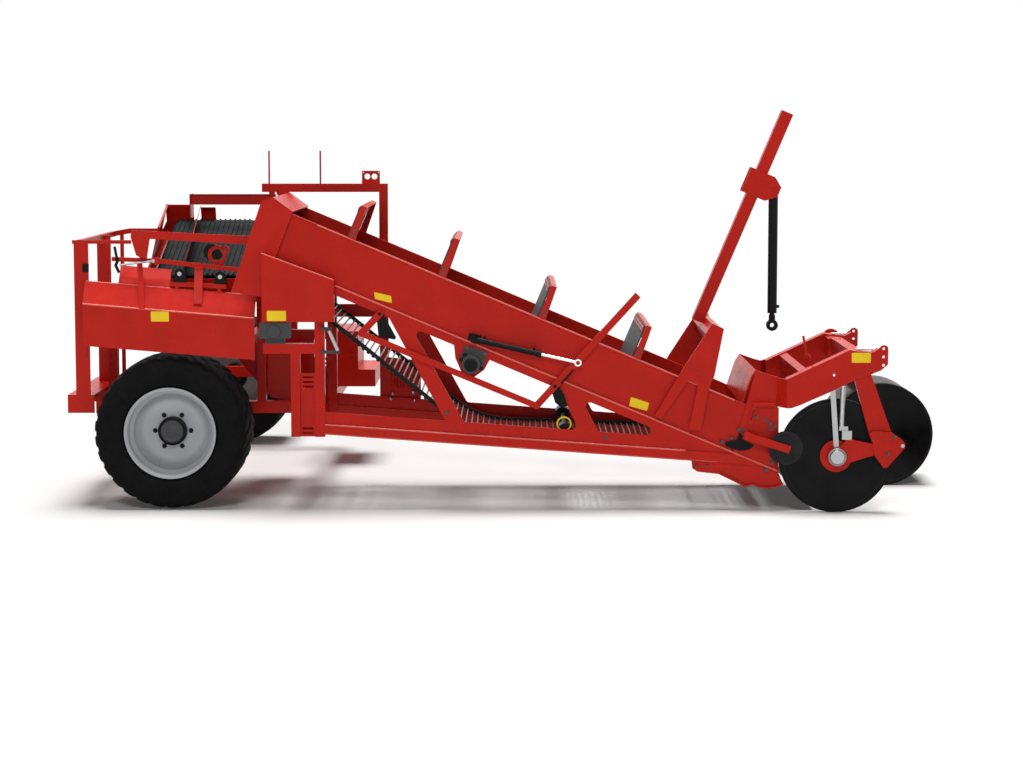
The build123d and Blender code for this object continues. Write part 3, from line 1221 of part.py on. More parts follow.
def gantry():
    """Lamp and hose gantry: post, top beam, two pins and the drilled lamp plate."""
    y0, y1 = GANTRY_Y0, GANTRY_Y0 + GANTRY_W
    frame = block(GANTRY_X0, GANTRY_X1, y0, y1, GANTRY_Z0, GANTRY_Z1)
    frame = frame + block(GANTRY_X1 - GANTRY_W, GANTRY_X1, y0, y1, 480, GANTRY_Z1)
    frame = frame + block(GANTRY_X1 - 90, GANTRY_X1 + 30, CH_MID + CH_HALF, y0, 420, 530)
    frame = frame + block(GANTRY_X1 - 90, GANTRY_X1 + 30, y0, y0 + 8, 420, 530)
    frame = frame + slab_xz([(600, GANTRY_Z0), (690, GANTRY_Z0), (690, 1960), (640, 1960)], y0, y0 + 8)
    for x in LAMP_PINS:
        frame = frame + Pos(x, y0 + 30, (GANTRY_Z1 + PIN_TOP) / 2) * Cylinder(6, PIN_TOP - GANTRY_Z1)
    frame = frame + block(980, GANTRY_X1, CH_MID + CH_HALF, y0, 1191, 1281)
    plate = block(1199, 1325, y0 + 27, y0 + 33, GANTRY_Z1, LAMP_TOP)
    for x, drop, r in ((1237, 40, 20), (1287, 40, 20), (1209, 12, 4), (1315, 12, 4)):
        plate = plate - disc_y(x, LAMP_TOP - drop, r, y0 + 20, y0 + 40)
    return frame + plate


def chute():
    """Open trough under the discharge: sloped back, floor and two ends."""
    y0, y1 = -(CHASSIS_RAIL_Y - CHASSIS_RAIL_W), -300.0
    body = slab_xz([(290, 1020), (298, 1024), (598, 668), (800, 646), (800, 638), (594, 660)], y0, y1)
    end = [(290, 1020), (800, 1020), (800, 638), (594, 660)]
    body = body + slab_xz(end, y0, y0 + 6) + slab_xz(end, y1 - 6, y1)
    return body


def oil_tank():
    """Stepped hydraulic oil tank on the front cross beam, left side."""
    return block(BEAM_X0, 1230, 200, 820, BEAM_Z1, 717) + block(BEAM_X0, 1102, 200, 820, 716, 1004)


def web_drive():
    """Gearbox and hydraulic motor under the guard, and the damper's two brackets on the column."""
    z = COLUMN_BEAM_Z1 + 40
    body = block(640, 760, *side_y(-1, COLUMN_IN, CH_HALF), COLUMN_BEAM_Z1, z)
    body = body + block(604, 800, *side_y(-1, COLUMN_IN, CH_HALF + 52), z - 1, z + 103)
    body = body + disc_y(700, z + 45, 40, *side_y(-1, CH_HALF, CH_HALF + 66))
    damper = block(1000, 1072, *side_y(-1, CH_HALF, CH_HALF + 20), 1194, 1216)
    foot = block(1000, 1122, *side_y(-1, CH_HALF, CH_HALF + 20), 1042, 1062)
    return [body, damper, foot]


def build_all():
    """Every node by name."""
    nodes = {}
    for side, name in ((-1, "right"), (1, "left")):
        nodes["side_frame_" + name] = side_frame(side)
        nodes["elevator_wall_" + name] = elevator_wall(side)
        nodes["tyre_" + name] = tyre(side)
        nodes["rim_" + name] = rim(side)
        nodes["hub_" + name] = hub(side)
    nodes["sieve_web"] = sieve_web()
    nodes["rollers"] = Compound(children=web_rollers() + conveyor_rollers())
    nodes["rear_columns"] = Compound(children=[rear_column(-1), rear_column(1)])
    nodes["drive_motors"] = Compound(children=web_drive() + [agitator_motor()])
    nodes["disc_mounts"] = Compound(children=[disc_strut(), trash_arm()])
    nodes["flap_bridges"] = flap_bridges()
    nodes["rubber_flaps"] = rubber_flaps()
    nodes["mast_tower"] = mast_tower()
    nodes["mast"] = mast()
    nodes["mast_clamp"] = mast_clamp()
    nodes["lift_barrel"] = lift_barrel()
    nodes["lift_rod"] = lift_rod()
    nodes["head_side_plates"] = head_side_plates()
    nodes["head_frame"] = head_frame()
    nodes["disc_arm"] = disc_arm()
    nodes["coulter_disc"] = coulter_disc()
    nodes["depth_spindle"] = depth_spindle()
    nodes["trash_disc"] = trash_disc()
    nodes["depth_drum"] = depth_drum()
    nodes["drum_arm"] = drum_arm()
    nodes["digging_share"] = digging_share()
    nodes["skids"] = skids()
    nodes["link_bearings"] = link_bearings()
    nodes["agitator_lever"] = agitator_lever()
    nodes["link_bar"] = link_bar()
    nodes["rear_link"] = rear_link()
    nodes["lever_strut"] = lever_strut()
    nodes["side_scrapers"] = side_scrapers()
    nodes["side_bars"] = side_bars()
    nodes["pillow_blocks"] = Compound(children=pillow_blocks())
    nodes["bright_pins"] = Compound(children=head_pins() + side_pins())
    nodes["crank"] = Compound(children=crank())
    nodes["lever_barrel"] = lever_barrel()
    nodes["lever_rod"] = lever_rod()
    nodes["hood"] = hood() + drive_guard()
    nodes["chassis"] = chassis()
    nodes["axle_beam"] = axle_beam()
    nodes["sorting_table"] = sorting_table()
    nodes["table_frame"] = table_frame()
    nodes["conveyor_belt"] = conveyor_belt()
    nodes["conveyor_frame"] = conveyor_frame()
    nodes["platform"] = platform()
    nodes["railing"] = railing()
    nodes["gantry"] = gantry()
    nodes["chute"] = chute()
    nodes["oil_tank"] = oil_tank()
    return nodes


# the part's origin is under the middle of its outline, so all is moved by these two
X_REAR = PLAT_X0
X_FRONT = DRUM_X + DRUM_R
Y_RIGHT = CH_MID - (ARM_OUT + DISC_PLATE_T + 34)
Y_LEFT = WHEEL_Y + TYRE_W / 2
SHIFT_X = -(X_REAR + X_FRONT) / 2
SHIFT_Y = -(Y_RIGHT + Y_LEFT) / 2

if __name__ == "__main__":
    os.makedirs("parts", exist_ok=True)
    for name, shape in build_all().items():
        pieces = [Pos(SHIFT_X, SHIFT_Y, 0) * piece for piece in shape.solids()]
        whole = pieces[0] if len(pieces) == 1 else Compound(pieces)
        export_step(whole, "parts/" + name + ".step")
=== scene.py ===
"""Finish and fine detail for a trailed potato harvester.

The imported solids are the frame. This script gives every one of them its paint, rubber or steel, and adds
the treaded tyres, the pressed rims, the turned drum, the sieve web with its round rods, the fasteners, the
rounded folds, the flap clamps, the hydraulic fittings and the blank plates. All lengths are in metres, in the
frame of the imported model.
"""

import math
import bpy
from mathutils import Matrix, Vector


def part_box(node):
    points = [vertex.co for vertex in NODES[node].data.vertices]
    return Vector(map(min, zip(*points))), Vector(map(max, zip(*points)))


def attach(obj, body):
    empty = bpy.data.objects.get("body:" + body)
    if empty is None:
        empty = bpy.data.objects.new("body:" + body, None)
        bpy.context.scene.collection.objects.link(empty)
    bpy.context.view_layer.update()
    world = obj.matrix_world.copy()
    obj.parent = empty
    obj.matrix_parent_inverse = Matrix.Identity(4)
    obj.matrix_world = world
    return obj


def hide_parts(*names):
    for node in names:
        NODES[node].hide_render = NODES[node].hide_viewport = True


bl_info = {
    "name": "Potato Harvester Dressing",
    "version": (1, 0, 0),
    "blender": (4, 5, 0),
    "location": "3D View > Sidebar > Harvester",
    "description": "Tyre tread, sieve web rods, fasteners, fittings and finishes for a trailed potato harvester",
    "category": "Object",
}

import bmesh
import bpy
import numpy as np

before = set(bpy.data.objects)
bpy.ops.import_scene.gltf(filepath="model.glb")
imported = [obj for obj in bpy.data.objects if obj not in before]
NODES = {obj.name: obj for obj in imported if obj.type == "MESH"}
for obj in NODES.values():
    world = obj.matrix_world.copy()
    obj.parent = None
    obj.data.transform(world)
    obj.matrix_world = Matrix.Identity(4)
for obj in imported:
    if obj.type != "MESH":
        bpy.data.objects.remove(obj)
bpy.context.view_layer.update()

TYRE_LOW, TYRE_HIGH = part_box("tyre_right")
WEB_LOW, WEB_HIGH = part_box("sieve_web")
AXLE_X = (TYRE_LOW.x + TYRE_HIGH.x) / 2
AXLE_Z = (TYRE_LOW.z + TYRE_HIGH.z) / 2
TYRE_RADIUS = (TYRE_HIGH.z - TYRE_LOW.z) / 2
TYRE_WIDTH = TYRE_HIGH.y - TYRE_LOW.y
MIDDLE_Y = (WEB_LOW.y + WEB_HIGH.y) / 2

# the elevator floor line: x and z at its rear datum, and its fall for each metre forward
FLOOR_X, FLOOR_Z, FLOOR_FALL = 1.0, 1.518, 0.4215
FLOOR_COS = 1.0 / math.hypot(1.0, FLOOR_FALL)
FLOOR_SIN = FLOOR_FALL * FLOOR_COS


# ------------------------------------------------------------------ sizes and colours a user may change
class HarvesterSizes(bpy.types.PropertyGroup):
    """Sizes of the fine detail"""

    tread_depth: bpy.props.FloatProperty(
        name="Tread depth", description="How deep the grooves between the tread blocks are",
        default=0.009, min=0.0, max=0.03, unit="LENGTH", subtype="DISTANCE")
    tread_bars: bpy.props.IntProperty(
        name="Tread bars", description="Slanted bars round each half of a tyre", default=30, min=12, max=60)
    rod_diameter: bpy.props.FloatProperty(
        name="Web rod diameter", description="Diameter of the sieve web's steel rods",
        default=0.011, min=0.006, max=0.016, unit="LENGTH", subtype="DISTANCE")
    rod_pitch: bpy.props.FloatProperty(
        name="Web rod pitch", description="Distance from one rod of the sieve web to the next",
        default=0.040, min=0.03, max=0.06, unit="LENGTH", subtype="DISTANCE")
    bolt_size: bpy.props.FloatProperty(
        name="Bolt size", description="Width across the flats of the common frame bolt",
        default=0.019, min=0.01, max=0.03, unit="LENGTH", subtype="DISTANCE")
    plate_length: bpy.props.FloatProperty(
        name="Label plate length", description="Length of a blank yellow plate",
        default=0.125, min=0.05, max=0.2, unit="LENGTH", subtype="DISTANCE")


class HarvesterColours(bpy.types.PropertyGroup):
    """Colours of the paint, rubber and plates"""

    body: bpy.props.FloatVectorProperty(
        name="Body paint", description="Signal red gloss enamel", default=(0.54, 0.017, 0.009),
        size=3, min=0.0, max=1.0, subtype="COLOR")
    rim: bpy.props.FloatVectorProperty(
        name="Rim paint", description="Silver-white wheel paint", default=(0.42, 0.43, 0.45),
        size=3, min=0.0, max=1.0, subtype="COLOR")
    tool: bpy.props.FloatVectorProperty(
        name="Black paint", description="Satin black on discs and cylinders", default=(0.005, 0.005, 0.0055),
        size=3, min=0.0, max=1.0, subtype="COLOR")
    tyre: bpy.props.FloatVectorProperty(
        name="Tyre rubber", description="Fresh tyre rubber", default=(0.0045, 0.0045, 0.0048),
        size=3, min=0.0, max=1.0, subtype="COLOR")
    plate: bpy.props.FloatVectorProperty(
        name="Plate yellow", description="Blank label plates", default=(0.94, 0.66, 0.012),
        size=3, min=0.0, max=1.0, subtype="COLOR")


# ------------------------------------------------------------------ places
def at(x, d, z):
    """A place x ahead of the axle, d to the left of the channel's middle and z above the ground."""
    return np.array([AXLE_X + x, MIDDLE_Y + d, z])


def on_floor(s, n, d):
    """A place s down along the elevator floor, n square to it and d to the left of the channel's middle."""
    return at(FLOOR_X + s * FLOOR_COS + n * FLOOR_SIN, d, FLOOR_Z - s * FLOOR_SIN + n * FLOOR_COS)


def middle_of(node):
    """The middle of a solid's box."""
    low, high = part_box(node)
    return (low + high) / 2


# ------------------------------------------------------------------ surfaces from arrays
# points nearer than this are one, edges shorter than this go, and a crease past this angle stays sharp
WELD_DISTANCE, SHORTEST_EDGE, SHARP_ANGLE = 2e-5, 1e-6, math.radians(38)


def quads(rows, columns, close_rows=False, close_columns=False):
    """Faces between neighbours of a rows by columns grid, wrapped round where a direction is closed."""
    i = np.arange(rows if close_rows else rows - 1)[:, None]
    j = np.arange(columns if close_columns else columns - 1)[None, :]
    i1, j1 = (i + 1) % rows, (j + 1) % columns
    corners = [i * columns + j, i * columns + j1, i1 * columns + j1, i1 * columns + j]
    return np.stack([c + 0 * (i + j) for c in corners], -1).reshape(-1, 4)


def shell(points, close_rows=False):
    """A grid of points as a plain list of them, with its faces. Its columns always close, and its rows may."""
    return points.reshape(-1, 3), quads(*points.shape[:2], close_rows, True)


def unit(rows):
    """Every row brought to length one."""
    return rows / np.linalg.norm(rows, axis=1)[:, None]


def new_piece(name, points, faces, finish, slot, body="frame", smooth=True):
    """Puts arrays of points and four-cornered faces into a mesh, welds its seams and poles, turns its faces
    outward and rides it on a body."""
    mesh = bpy.data.meshes.new(name)
    mesh.from_pydata(points.tolist(), [], faces.tolist())
    work = bmesh.new()
    work.from_mesh(mesh)
    bmesh.ops.remove_doubles(work, verts=work.verts, dist=WELD_DISTANCE)
    bmesh.ops.dissolve_degenerate(work, edges=work.edges, dist=SHORTEST_EDGE)
    bmesh.ops.recalc_face_normals(work, faces=work.faces)
    work.to_mesh(mesh)
    work.free()
    piece = bpy.data.objects.new(name, mesh)
    bpy.context.scene.collection.objects.link(piece)
    if smooth:
        mesh.polygons.foreach_set("use_smooth", np.ones(len(mesh.polygons), dtype=bool))
        mesh.set_sharp_from_angle(angle=SHARP_ANGLE)
    mesh.materials.append(bpy.data.materials[finish])
    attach(piece, body)
    return piece


def lathe(profile, centre, steps):
    """Surface of turning: the point (r, w) of the profile stands at centre + (r cos a, w, r sin a) for a full turn
    of a, so it turns about a line across the machine. The profile is a closed line."""
    profile = np.asarray(profile, float)
    a = np.linspace(0, 2 * np.pi, steps, endpoint=False)[:, None]
    r, w = profile[None, :, 0], profile[None, :, 1]
    return shell(np.stack([r * np.cos(a), w + 0 * a, r * np.sin(a)], -1) + centre, True)


def pipe(path, radius, sides):
    """Round bar along a path: at each path point p with unit tangent t, the ring is p + radius (n cos a + b sin a),
    where n and b are square to t and n starts from the world direction that t leans on least. Both ends are
    closed by a last ring of no radius."""
    path = np.asarray(path, float)
    t = unit(np.gradient(path, axis=0))
    lean = np.eye(3)[np.argmin(np.abs(t).max(0) + np.abs(t).mean(0))]
    n = unit(lean - t * (t @ lean)[:, None])
    b = np.cross(t, n)
    a = np.linspace(0, 2 * np.pi, sides, endpoint=False)
    ring = np.cos(a)[None, :, None] * n[:, None] + np.sin(a)[None, :, None] * b[:, None]
    radius = np.broadcast_to(radius, (len(path),))[:, None, None]
    first, last = np.repeat(path[:1, None], sides, 1), np.repeat(path[-1:, None], sides, 1)
    return shell(np.concatenate([first, path[:, None] + radius * ring, last]))


def faces_again(faces, times, size):
    """The faces of one shape of so many points, again for each of its copies."""
    return (faces[None] + (np.arange(times) * size)[:, None, None]).reshape(-1, 4)


def copies(points, faces, places, normals, scales, turns=None):
    """One small shape set many times: its own x, y and z go to two directions square to the place's normal
    and to the normal itself, scaled and turned by an angle."""
    places, w = np.asarray(places, float), unit(np.asarray(normals, float))
    lean = np.where(np.abs(w[:, 2:3]) < 0.8, [[0.0, 0.0, 1.0]], [[1.0, 0.0, 0.0]])
    u = unit(np.cross(lean, w))
    v = np.cross(w, u)
    if turns is not None:
        c, s = np.cos(turns)[:, None], np.sin(turns)[:, None]
        u, v = c * u + s * v, c * v - s * u
    axes = np.stack([u, v, w], 1) * np.asarray(scales, float)[:, None, None]
    out = places[:, None] + points @ axes
    return out.reshape(-1, 3), faces_again(faces, len(places), len(points))


def rounded_corners(corners, radius):
    """The corners of a flat outline each replaced by five points of a quadratic curve that starts and ends the
    radius away from the corner."""
    corners = np.asarray(corners, float)
    out = []
    for before, here, after in zip(np.roll(corners, 1, 0), corners, np.roll(corners, -1, 0)):
        a = here + (before - here) * radius / np.linalg.norm(before - here)
        b = here + (after - here) * radius / np.linalg.norm(after - here)
        out += [a * (1 - t) ** 2 + here * 2 * t * (1 - t) + b * t * t for t in np.linspace(0, 1, 5)]
    return np.array(out)


def plate_on(outline, d0, d1):
    """A flat plate: the outline in x and z carried from d0 to d1 across the machine, and closed at both faces
    by a ring drawn in to the outline's middle."""
    middle = np.repeat(outline.mean(0)[None], len(outline), 0)
    rings = [(middle, d0), (outline, d0), (outline, d1), (middle, d1)]
    return shell(np.stack([at(0, d, 0) + np.stack([o[:, 0], 0 * o[:, 0], o[:, 1]], -1) for o, d in rings]))


def swept_belt(line, profile):
    """Closed belt: each point (y, n) of the profile stands y across the machine and n outward of each point of a
    closed line in x and z, so the surface is line(t) + n normal(t) + y across."""
    t = unit(np.roll(line, -1, 0) - np.roll(line, 1, 0))
    normal = np.stack([t[:, 1], -t[:, 0]], -1)
    flat = line[:, None] + normal[:, None] * profile[None, :, 1:2]
    points = np.stack([flat[..., 0], 0 * flat[..., 0] + profile[None, :, 0], flat[..., 1]], -1)
    return shell(points + at(0, 0, 0), True)


def along_line(points, faces, places, headings):
    """One shape at many places of a line in x and z: its x runs along the heading, its z outward, its y across."""
    c, s = np.cos(headings)[:, None], np.sin(headings)[:, None]
    x = places[:, 0:1] + points[:, 0] * c + points[:, 2] * s
    z = places[:, 1:2] + points[:, 0] * s - points[:, 2] * c
    out = np.stack([x, points[:, 1] + 0 * x, z], -1) + at(0, 0, 0)
    return out.reshape(-1, 3), faces_again(faces, len(places), len(points))


def pillow(wide, deep, high):
    """Rounded block standing on z = 0: rings of a squared circle |x|^n + |y|^n = 1 with n = 6, drawn in at the top
    edge by a quarter turn."""
    edge, sides, n = 0.15, 16, 6
    a = np.linspace(0, 2 * np.pi, sides, endpoint=False) + np.pi / sides
    power = (np.abs(np.cos(a)) ** n + np.abs(np.sin(a)) ** n) ** (-1 / n)
    outline = np.stack([np.cos(a) * power * wide / 2, np.sin(a) * power * deep / 2], -1)
    inset = edge * min(wide, deep, 2 * high)
    rows = [(0, 0), (1, 0), (1, high - inset)]
    rows += [(1 - inset * (1 - math.cos(q)) / (max(wide, deep) / 2), high - inset + inset * math.sin(q))
             for q in (0.5, 1.05, math.pi / 2)] + [(0, high)]
    return shell(np.stack([np.concatenate([outline * k, np.full((sides, 1), z)], 1) for k, z in rows]))


def stacked(rings, a):
    """Rings (r, z) about the z axis, one over the other, each with the points (r cos a, r sin a)."""
    return shell(np.stack([np.stack([np.cos(a) * r, np.sin(a) * r, 0 * a + z], -1) for r, z in rings]))


def bolt():
    """Hexagon head on a washer, one wide across its flats and standing on z = 0: a grid of turn angle a and ring,
    where a ring of the head reaches 0.5 / cos((a mod 60 degrees) - 30 degrees)."""
    turn = np.arange(12) * 30.0
    flat = 0.5 / np.cos(np.radians(turn % 60 - 30))
    rings = [(0.0, 0.0), (0.78, 0.0), (0.78, 0.09), (flat, 0.09), (flat, 0.56), (flat * 0.86, 0.65), (0.0, 0.65)]
    return stacked(rings, np.radians(turn))


def rivet():
    """Domed rivet head of radius one on z = 0: rings of radius cos q and height 0.6 sin q."""
    a = np.linspace(0, 2 * np.pi, 8, endpoint=False)
    q = np.array([0.0, 0.55, 1.05, np.pi / 2])
    rings = [(0.0, 0.0)] + [(np.cos(k), 0.6 * np.sin(k)) for k in q]
    return stacked(rings, a)


def thread(start, end, radius, pitch, depth):
    """Screw thread: at turn angle a and length t the radius is the core's plus the depth times a triangle wave of
    t / pitch - a / one turn. Both ends are closed by a last ring of no radius."""
    rings_a_pitch, sides = 6, 18
    length = np.linalg.norm(end - start)
    w = (end - start) / length
    u = np.cross(w, [0.0, 1.0, 0.0])
    u /= np.linalg.norm(u)
    v = np.cross(w, u)
    t = np.linspace(0, length, int(length / pitch * rings_a_pitch))[:, None]
    a = np.linspace(0, 2 * np.pi, sides, endpoint=False)[None, :]
    r = radius + depth * (2 * np.abs((t / pitch - a / (2 * np.pi)) % 1 - 0.5))
    ring = start + w * t[..., None] + r[..., None] * (np.cos(a)[..., None] * u + np.sin(a)[..., None] * v)
    first, last = np.broadcast_to(start, (1, sides, 3)), np.broadcast_to(end, (1, sides, 3))
    return shell(np.concatenate([first, ring, last]))


def joined(*parts):
    """Several shapes as one array of points and one of faces."""
    points, faces, base = [], [], 0
    for p, f in parts:
        points.append(p)
        faces.append(f + base)
        base += len(p)
    return np.concatenate(points), np.concatenate(faces)


# ------------------------------------------------------------------ finishes
def material(name, numbers):
    """A new node material with its shader's numbers, and the two ends every finish is wired between."""
    made = bpy.data.materials.new(name)
    made.use_nodes = True
    tree = made.node_tree
    shader = tree.nodes["Principled BSDF"]
    for key, number in numbers.items():
        shader.inputs[key].default_value = number
    return tree, shader, tree.nodes.new("ShaderNodeTexCoord").outputs["Object"]


def wired(tree, kind, numbers, links, **settings):
    """The outputs of a new node with these settings, numbers at its inputs and links into them."""
    node = tree.nodes.new(kind)
    for key, setting in settings.items():
        setattr(node, key, setting)
    for key, number in numbers.items():
        node.inputs[key].default_value = number
    for key, output in links.items():
        tree.links.new(output, node.inputs[key])
    return node.outputs


def noise(tree, where, scale, detail=3.0, rough=0.5):
    """Noise on object coordinates, as many grains to the metre as the scale says."""
    numbers = {"Scale": scale, "Detail": detail, "Roughness": rough}
    return wired(tree, "ShaderNodeTexNoise", numbers, {"Vector": where})["Fac"]


def spread(tree, value, low, high, from_low=0.3, from_high=0.7):
    """A value's middle band carried on to a new range."""
    numbers = {"From Min": from_low, "From Max": from_high, "To Min": low, "To Max": high}
    return wired(tree, "ShaderNodeMapRange", numbers, {"Value": value})["Result"]


def tinted(tree, factor, first, second):
    """Two colours mixed by a factor."""
    numbers = {"A": (*first, 1.0), "B": (*second, 1.0)}
    return wired(tree, "ShaderNodeMix", numbers, {"Factor": factor}, data_type="RGBA")["Result"]


def coloured(tree, shader, factor, dark, light):
    """A base colour that runs from dark to light with a factor."""
    tree.links.new(tinted(tree, spread(tree, factor, 0, 1), dark, light), shader.inputs["Base Color"])


def roughened(tree, shader, factor, low, high):
    """A roughness that runs from low to high with a factor."""
    tree.links.new(spread(tree, factor, low, high), shader.inputs["Roughness"])


def bumped(tree, shader, height, distance):
    """A height, in metres at its most, wired to the shader's normal."""
    bump = wired(tree, "ShaderNodeBump", {"Distance": distance, "Strength": 1.0}, {"Height": height})
    tree.links.new(bump["Normal"], shader.inputs["Normal"])


def enamel(name, colour, rough=0.36, gloss=0.12):
    """Sprayed gloss enamel: faint cloud in its colour, uneven gloss and a fine orange peel."""
    tree, shader, where = material(name, {"Specular IOR Level": gloss})
    colour = np.array(colour[:3])
    coloured(tree, shader, noise(tree, where, 5.0, 4.0), colour * 0.93, np.minimum(colour * 1.05, 1))
    roughened(tree, shader, noise(tree, where, 22.0, 5.0), rough - 0.05, rough + 0.07)
    bumped(tree, shader, noise(tree, where, 420.0, 2.0), 0.00006)


def rubber(name, colour, rough=0.66):
    """Moulded rubber: fine matt grain with a light bloom over it."""
    tree, shader, where = material(name, {"Specular IOR Level": 0.07})
    colour = np.array(colour[:3])
    coloured(tree, shader, noise(tree, where, 9.0, 6.0, 0.65), colour * 0.8, colour * 1.35 + 0.002)
    roughened(tree, shader, noise(tree, where, 40.0), rough - 0.07, rough + 0.08)
    bumped(tree, shader, noise(tree, where, 900.0, 2.0), 0.0001)


def metal(name, colour, rough=0.3, scratch=0.00003, stretch=(1.0, 1.0, 1.0)):
    """Bare metal: fine drawn scratches along one direction and uneven polish."""
    tree, shader, where = material(name, {"Metallic": 1.0})
    colour = np.array(colour[:3])
    drawn = wired(tree, "ShaderNodeMapping", {"Scale": stretch}, {"Vector": where})["Vector"]
    streak = noise(tree, drawn, 600.0, 3.0)
    coloured(tree, shader, streak, colour * 0.86, np.minimum(colour * 1.06, 1))
    roughened(tree, shader, noise(tree, where, 30.0, 5.0), rough - 0.06, rough + 0.1)
    bumped(tree, shader, streak, scratch)


def cast(name, colour, rough=0.55):
    """Cast iron under thin paint: coarse sand grain."""
    tree, shader, where = material(name, {"Metallic": 0.35})
    colour = np.array(colour[:3])
    grain = noise(tree, where, 260.0, 4.0, 0.6)
    coloured(tree, shader, grain, colour * 0.85, colour * 1.12)
    roughened(tree, shader, grain, rough - 0.06, rough + 0.1)
    bumped(tree, shader, grain, 0.0004)


def turned_black(name, colour, centre, rough=0.36):
    """Black enamel on a disc, with the fine rings that its turning left round the given centre."""
    tree, shader, where = material(name, {"Specular IOR Level": 0.09})
    colour = np.array(colour[:3])
    numbers = {"Location": (-centre[0], 0.0, -centre[2]), "Scale": (1.0, 0.0, 1.0)}
    flat = wired(tree, "ShaderNodeMapping", numbers, {"Vector": where})["Vector"]
    rings = wired(tree, "ShaderNodeTexWave", {"Scale": 70.0, "Distortion": 0.6}, {"Vector": flat},
                  wave_type="RINGS", rings_direction="SPHERICAL")["Fac"]
    cloud = noise(tree, where, 7.0, 5.0)
    coloured(tree, shader, cloud, colour * 0.8, colour * 1.5 + 0.002)
    roughened(tree, shader, cloud, rough - 0.06, rough + 0.09)
    bumped(tree, shader, rings, 0.00004)


# the finish of each solid that isn't red
FINISH_OF_NODE = {
    "tyre_right": "tyre rubber", "tyre_left": "tyre rubber", "rim_right": "rim paint", "rim_left": "rim paint",
    "hub_right": "black paint", "hub_left": "black paint", "sieve_web": "belt rubber", "rollers": "black paint",
    "rubber_flaps": "grey flap rubber", "lift_barrel": "black paint", "lift_rod": "black paint",
    "depth_spindle": "bright zinc", "coulter_disc": "coulter black", "trash_disc": "trash disc black",
    "depth_drum": "drum black", "drive_motors": "cast grey", "link_bearings": "black paint",
    "lever_barrel": "black paint", "lever_rod": "chrome", "conveyor_belt": "ribbed belt rubber",
    "digging_share": "worn steel", "bright_pins": "bright zinc", "pillow_blocks": "black paint",
    "side_scrapers": "black paint", "lever_strut": "black paint",
}


class HARVESTER_OT_finishes(bpy.types.Operator):
    """Makes the paints, rubbers and metals and puts one on every solid"""

    bl_idname = "harvester.finishes"
    bl_label = "Paint and finishes"

    def execute(self, context):
        tint = context.scene.harvester_colours
        enamel("body red", tint.body, rough=0.3, gloss=0.13)
        # the folds get a lighter copy of the body red: a painted highlight along the rounded edges
        enamel("fold red", np.array(tint.body[:3]) * 0.9 + [0.22, 0.10, 0.075], rough=0.24, gloss=0.4)
        enamel("rim paint", tint.rim, gloss=0.35)
        enamel("black paint", tint.tool)
        enamel("plate yellow", tint.plate, rough=0.4, gloss=0.3)
        rubber("tyre rubber", tint.tyre, rough=0.72)
        rubber("belt rubber", (0.014, 0.014, 0.015))
        rubber("ribbed belt rubber", (0.019, 0.021, 0.022))
        rubber("grey flap rubber", (0.085, 0.085, 0.088), rough=0.55)
        metal("bright zinc", (0.46, 0.465, 0.47))
        metal("chrome", (0.86, 0.87, 0.88), rough=0.24, scratch=0.000008)
        metal("worn steel", (0.24, 0.24, 0.245), rough=0.38, stretch=(1.0, 0.06, 1.0))
        metal("rod steel", (0.17, 0.17, 0.173), stretch=(1.0, 0.05, 1.0))
        metal("ground edge", (0.035, 0.035, 0.038), rough=0.34)
        metal("dark bolt steel", (0.1, 0.085, 0.085), rough=0.4)
        cast("cast grey", (0.045, 0.045, 0.048))
        turned_black("coulter black", tint.tool, middle_of("coulter_disc"))
        turned_black("trash disc black", np.array(tint.tool[:3]) * 3.0, middle_of("trash_disc"))
        turned_black("drum black", tint.tool, middle_of("depth_drum"), rough=0.3)
        for name, node in NODES.items():
            finish = bpy.data.materials[FINISH_OF_NODE.get(name, "body red")]
            node.data.materials.clear()
            node.data.materials.append(finish)
        return {"FINISHED"}


# ------------------------------------------------------------------ wheels
SIDES = (("right", -1.0), ("left", 1.0))
# points round a tyre and along its section
TYRE_STEPS, TYRE_KNOTS = 540, 74
# half the tyre's section, from the bead to the tread: radius, and distance in from the tyre's edge
TYRE_SECTION = [(0.287, 0.040), (0.306, 0.029), (0.318, 0.014), (0.334, 0.003), (0.372, 0.0005), (0.410, 0.001),
                (0.446, 0.004), (0.474, 0.012), (0.492, 0.026), (0.502, 0.050), (0.508, 0.095), (0.5105, 0.16)]
# the rim's section as radius and distance in from the tyre's edge: the outer flange and bead seat, the inner flange
# and bead seat from the tyre's other edge, and the dished disc with the outer flange's inside
RIM_FRONT = [(0.302, 0.012), (0.3035, 0.018), (0.299, 0.022), (0.290, 0.024), (0.286, 0.032), (0.285, 0.075),
             (0.262, 0.095)]
RIM_BACK = [(0.262, 0.12), (0.285, 0.09), (0.286, 0.032), (0.290, 0.024), (0.299, 0.022), (0.3035, 0.018),
            (0.302, 0.012), (0.293, 0.013), (0.283, 0.02), (0.279, 0.03), (0.277, 0.085), (0.254, 0.118)]
RIM_DISH = [(0.254, 0.165), (0.247, 0.170), (0.232, 0.163), (0.205, 0.149), (0.182, 0.146), (0.165, 0.152),
            (0.155, 0.158), (0.100, 0.158), (0.0955, 0.158), (0.0955, 0.148), (0.102, 0.148), (0.155, 0.148),
            (0.167, 0.142), (0.183, 0.136), (0.207, 0.139), (0.234, 0.153), (0.249, 0.158), (0.2535, 0.15),
            (0.2545, 0.1), (0.277, 0.078), (0.279, 0.03), (0.283, 0.02), (0.293, 0.013)]


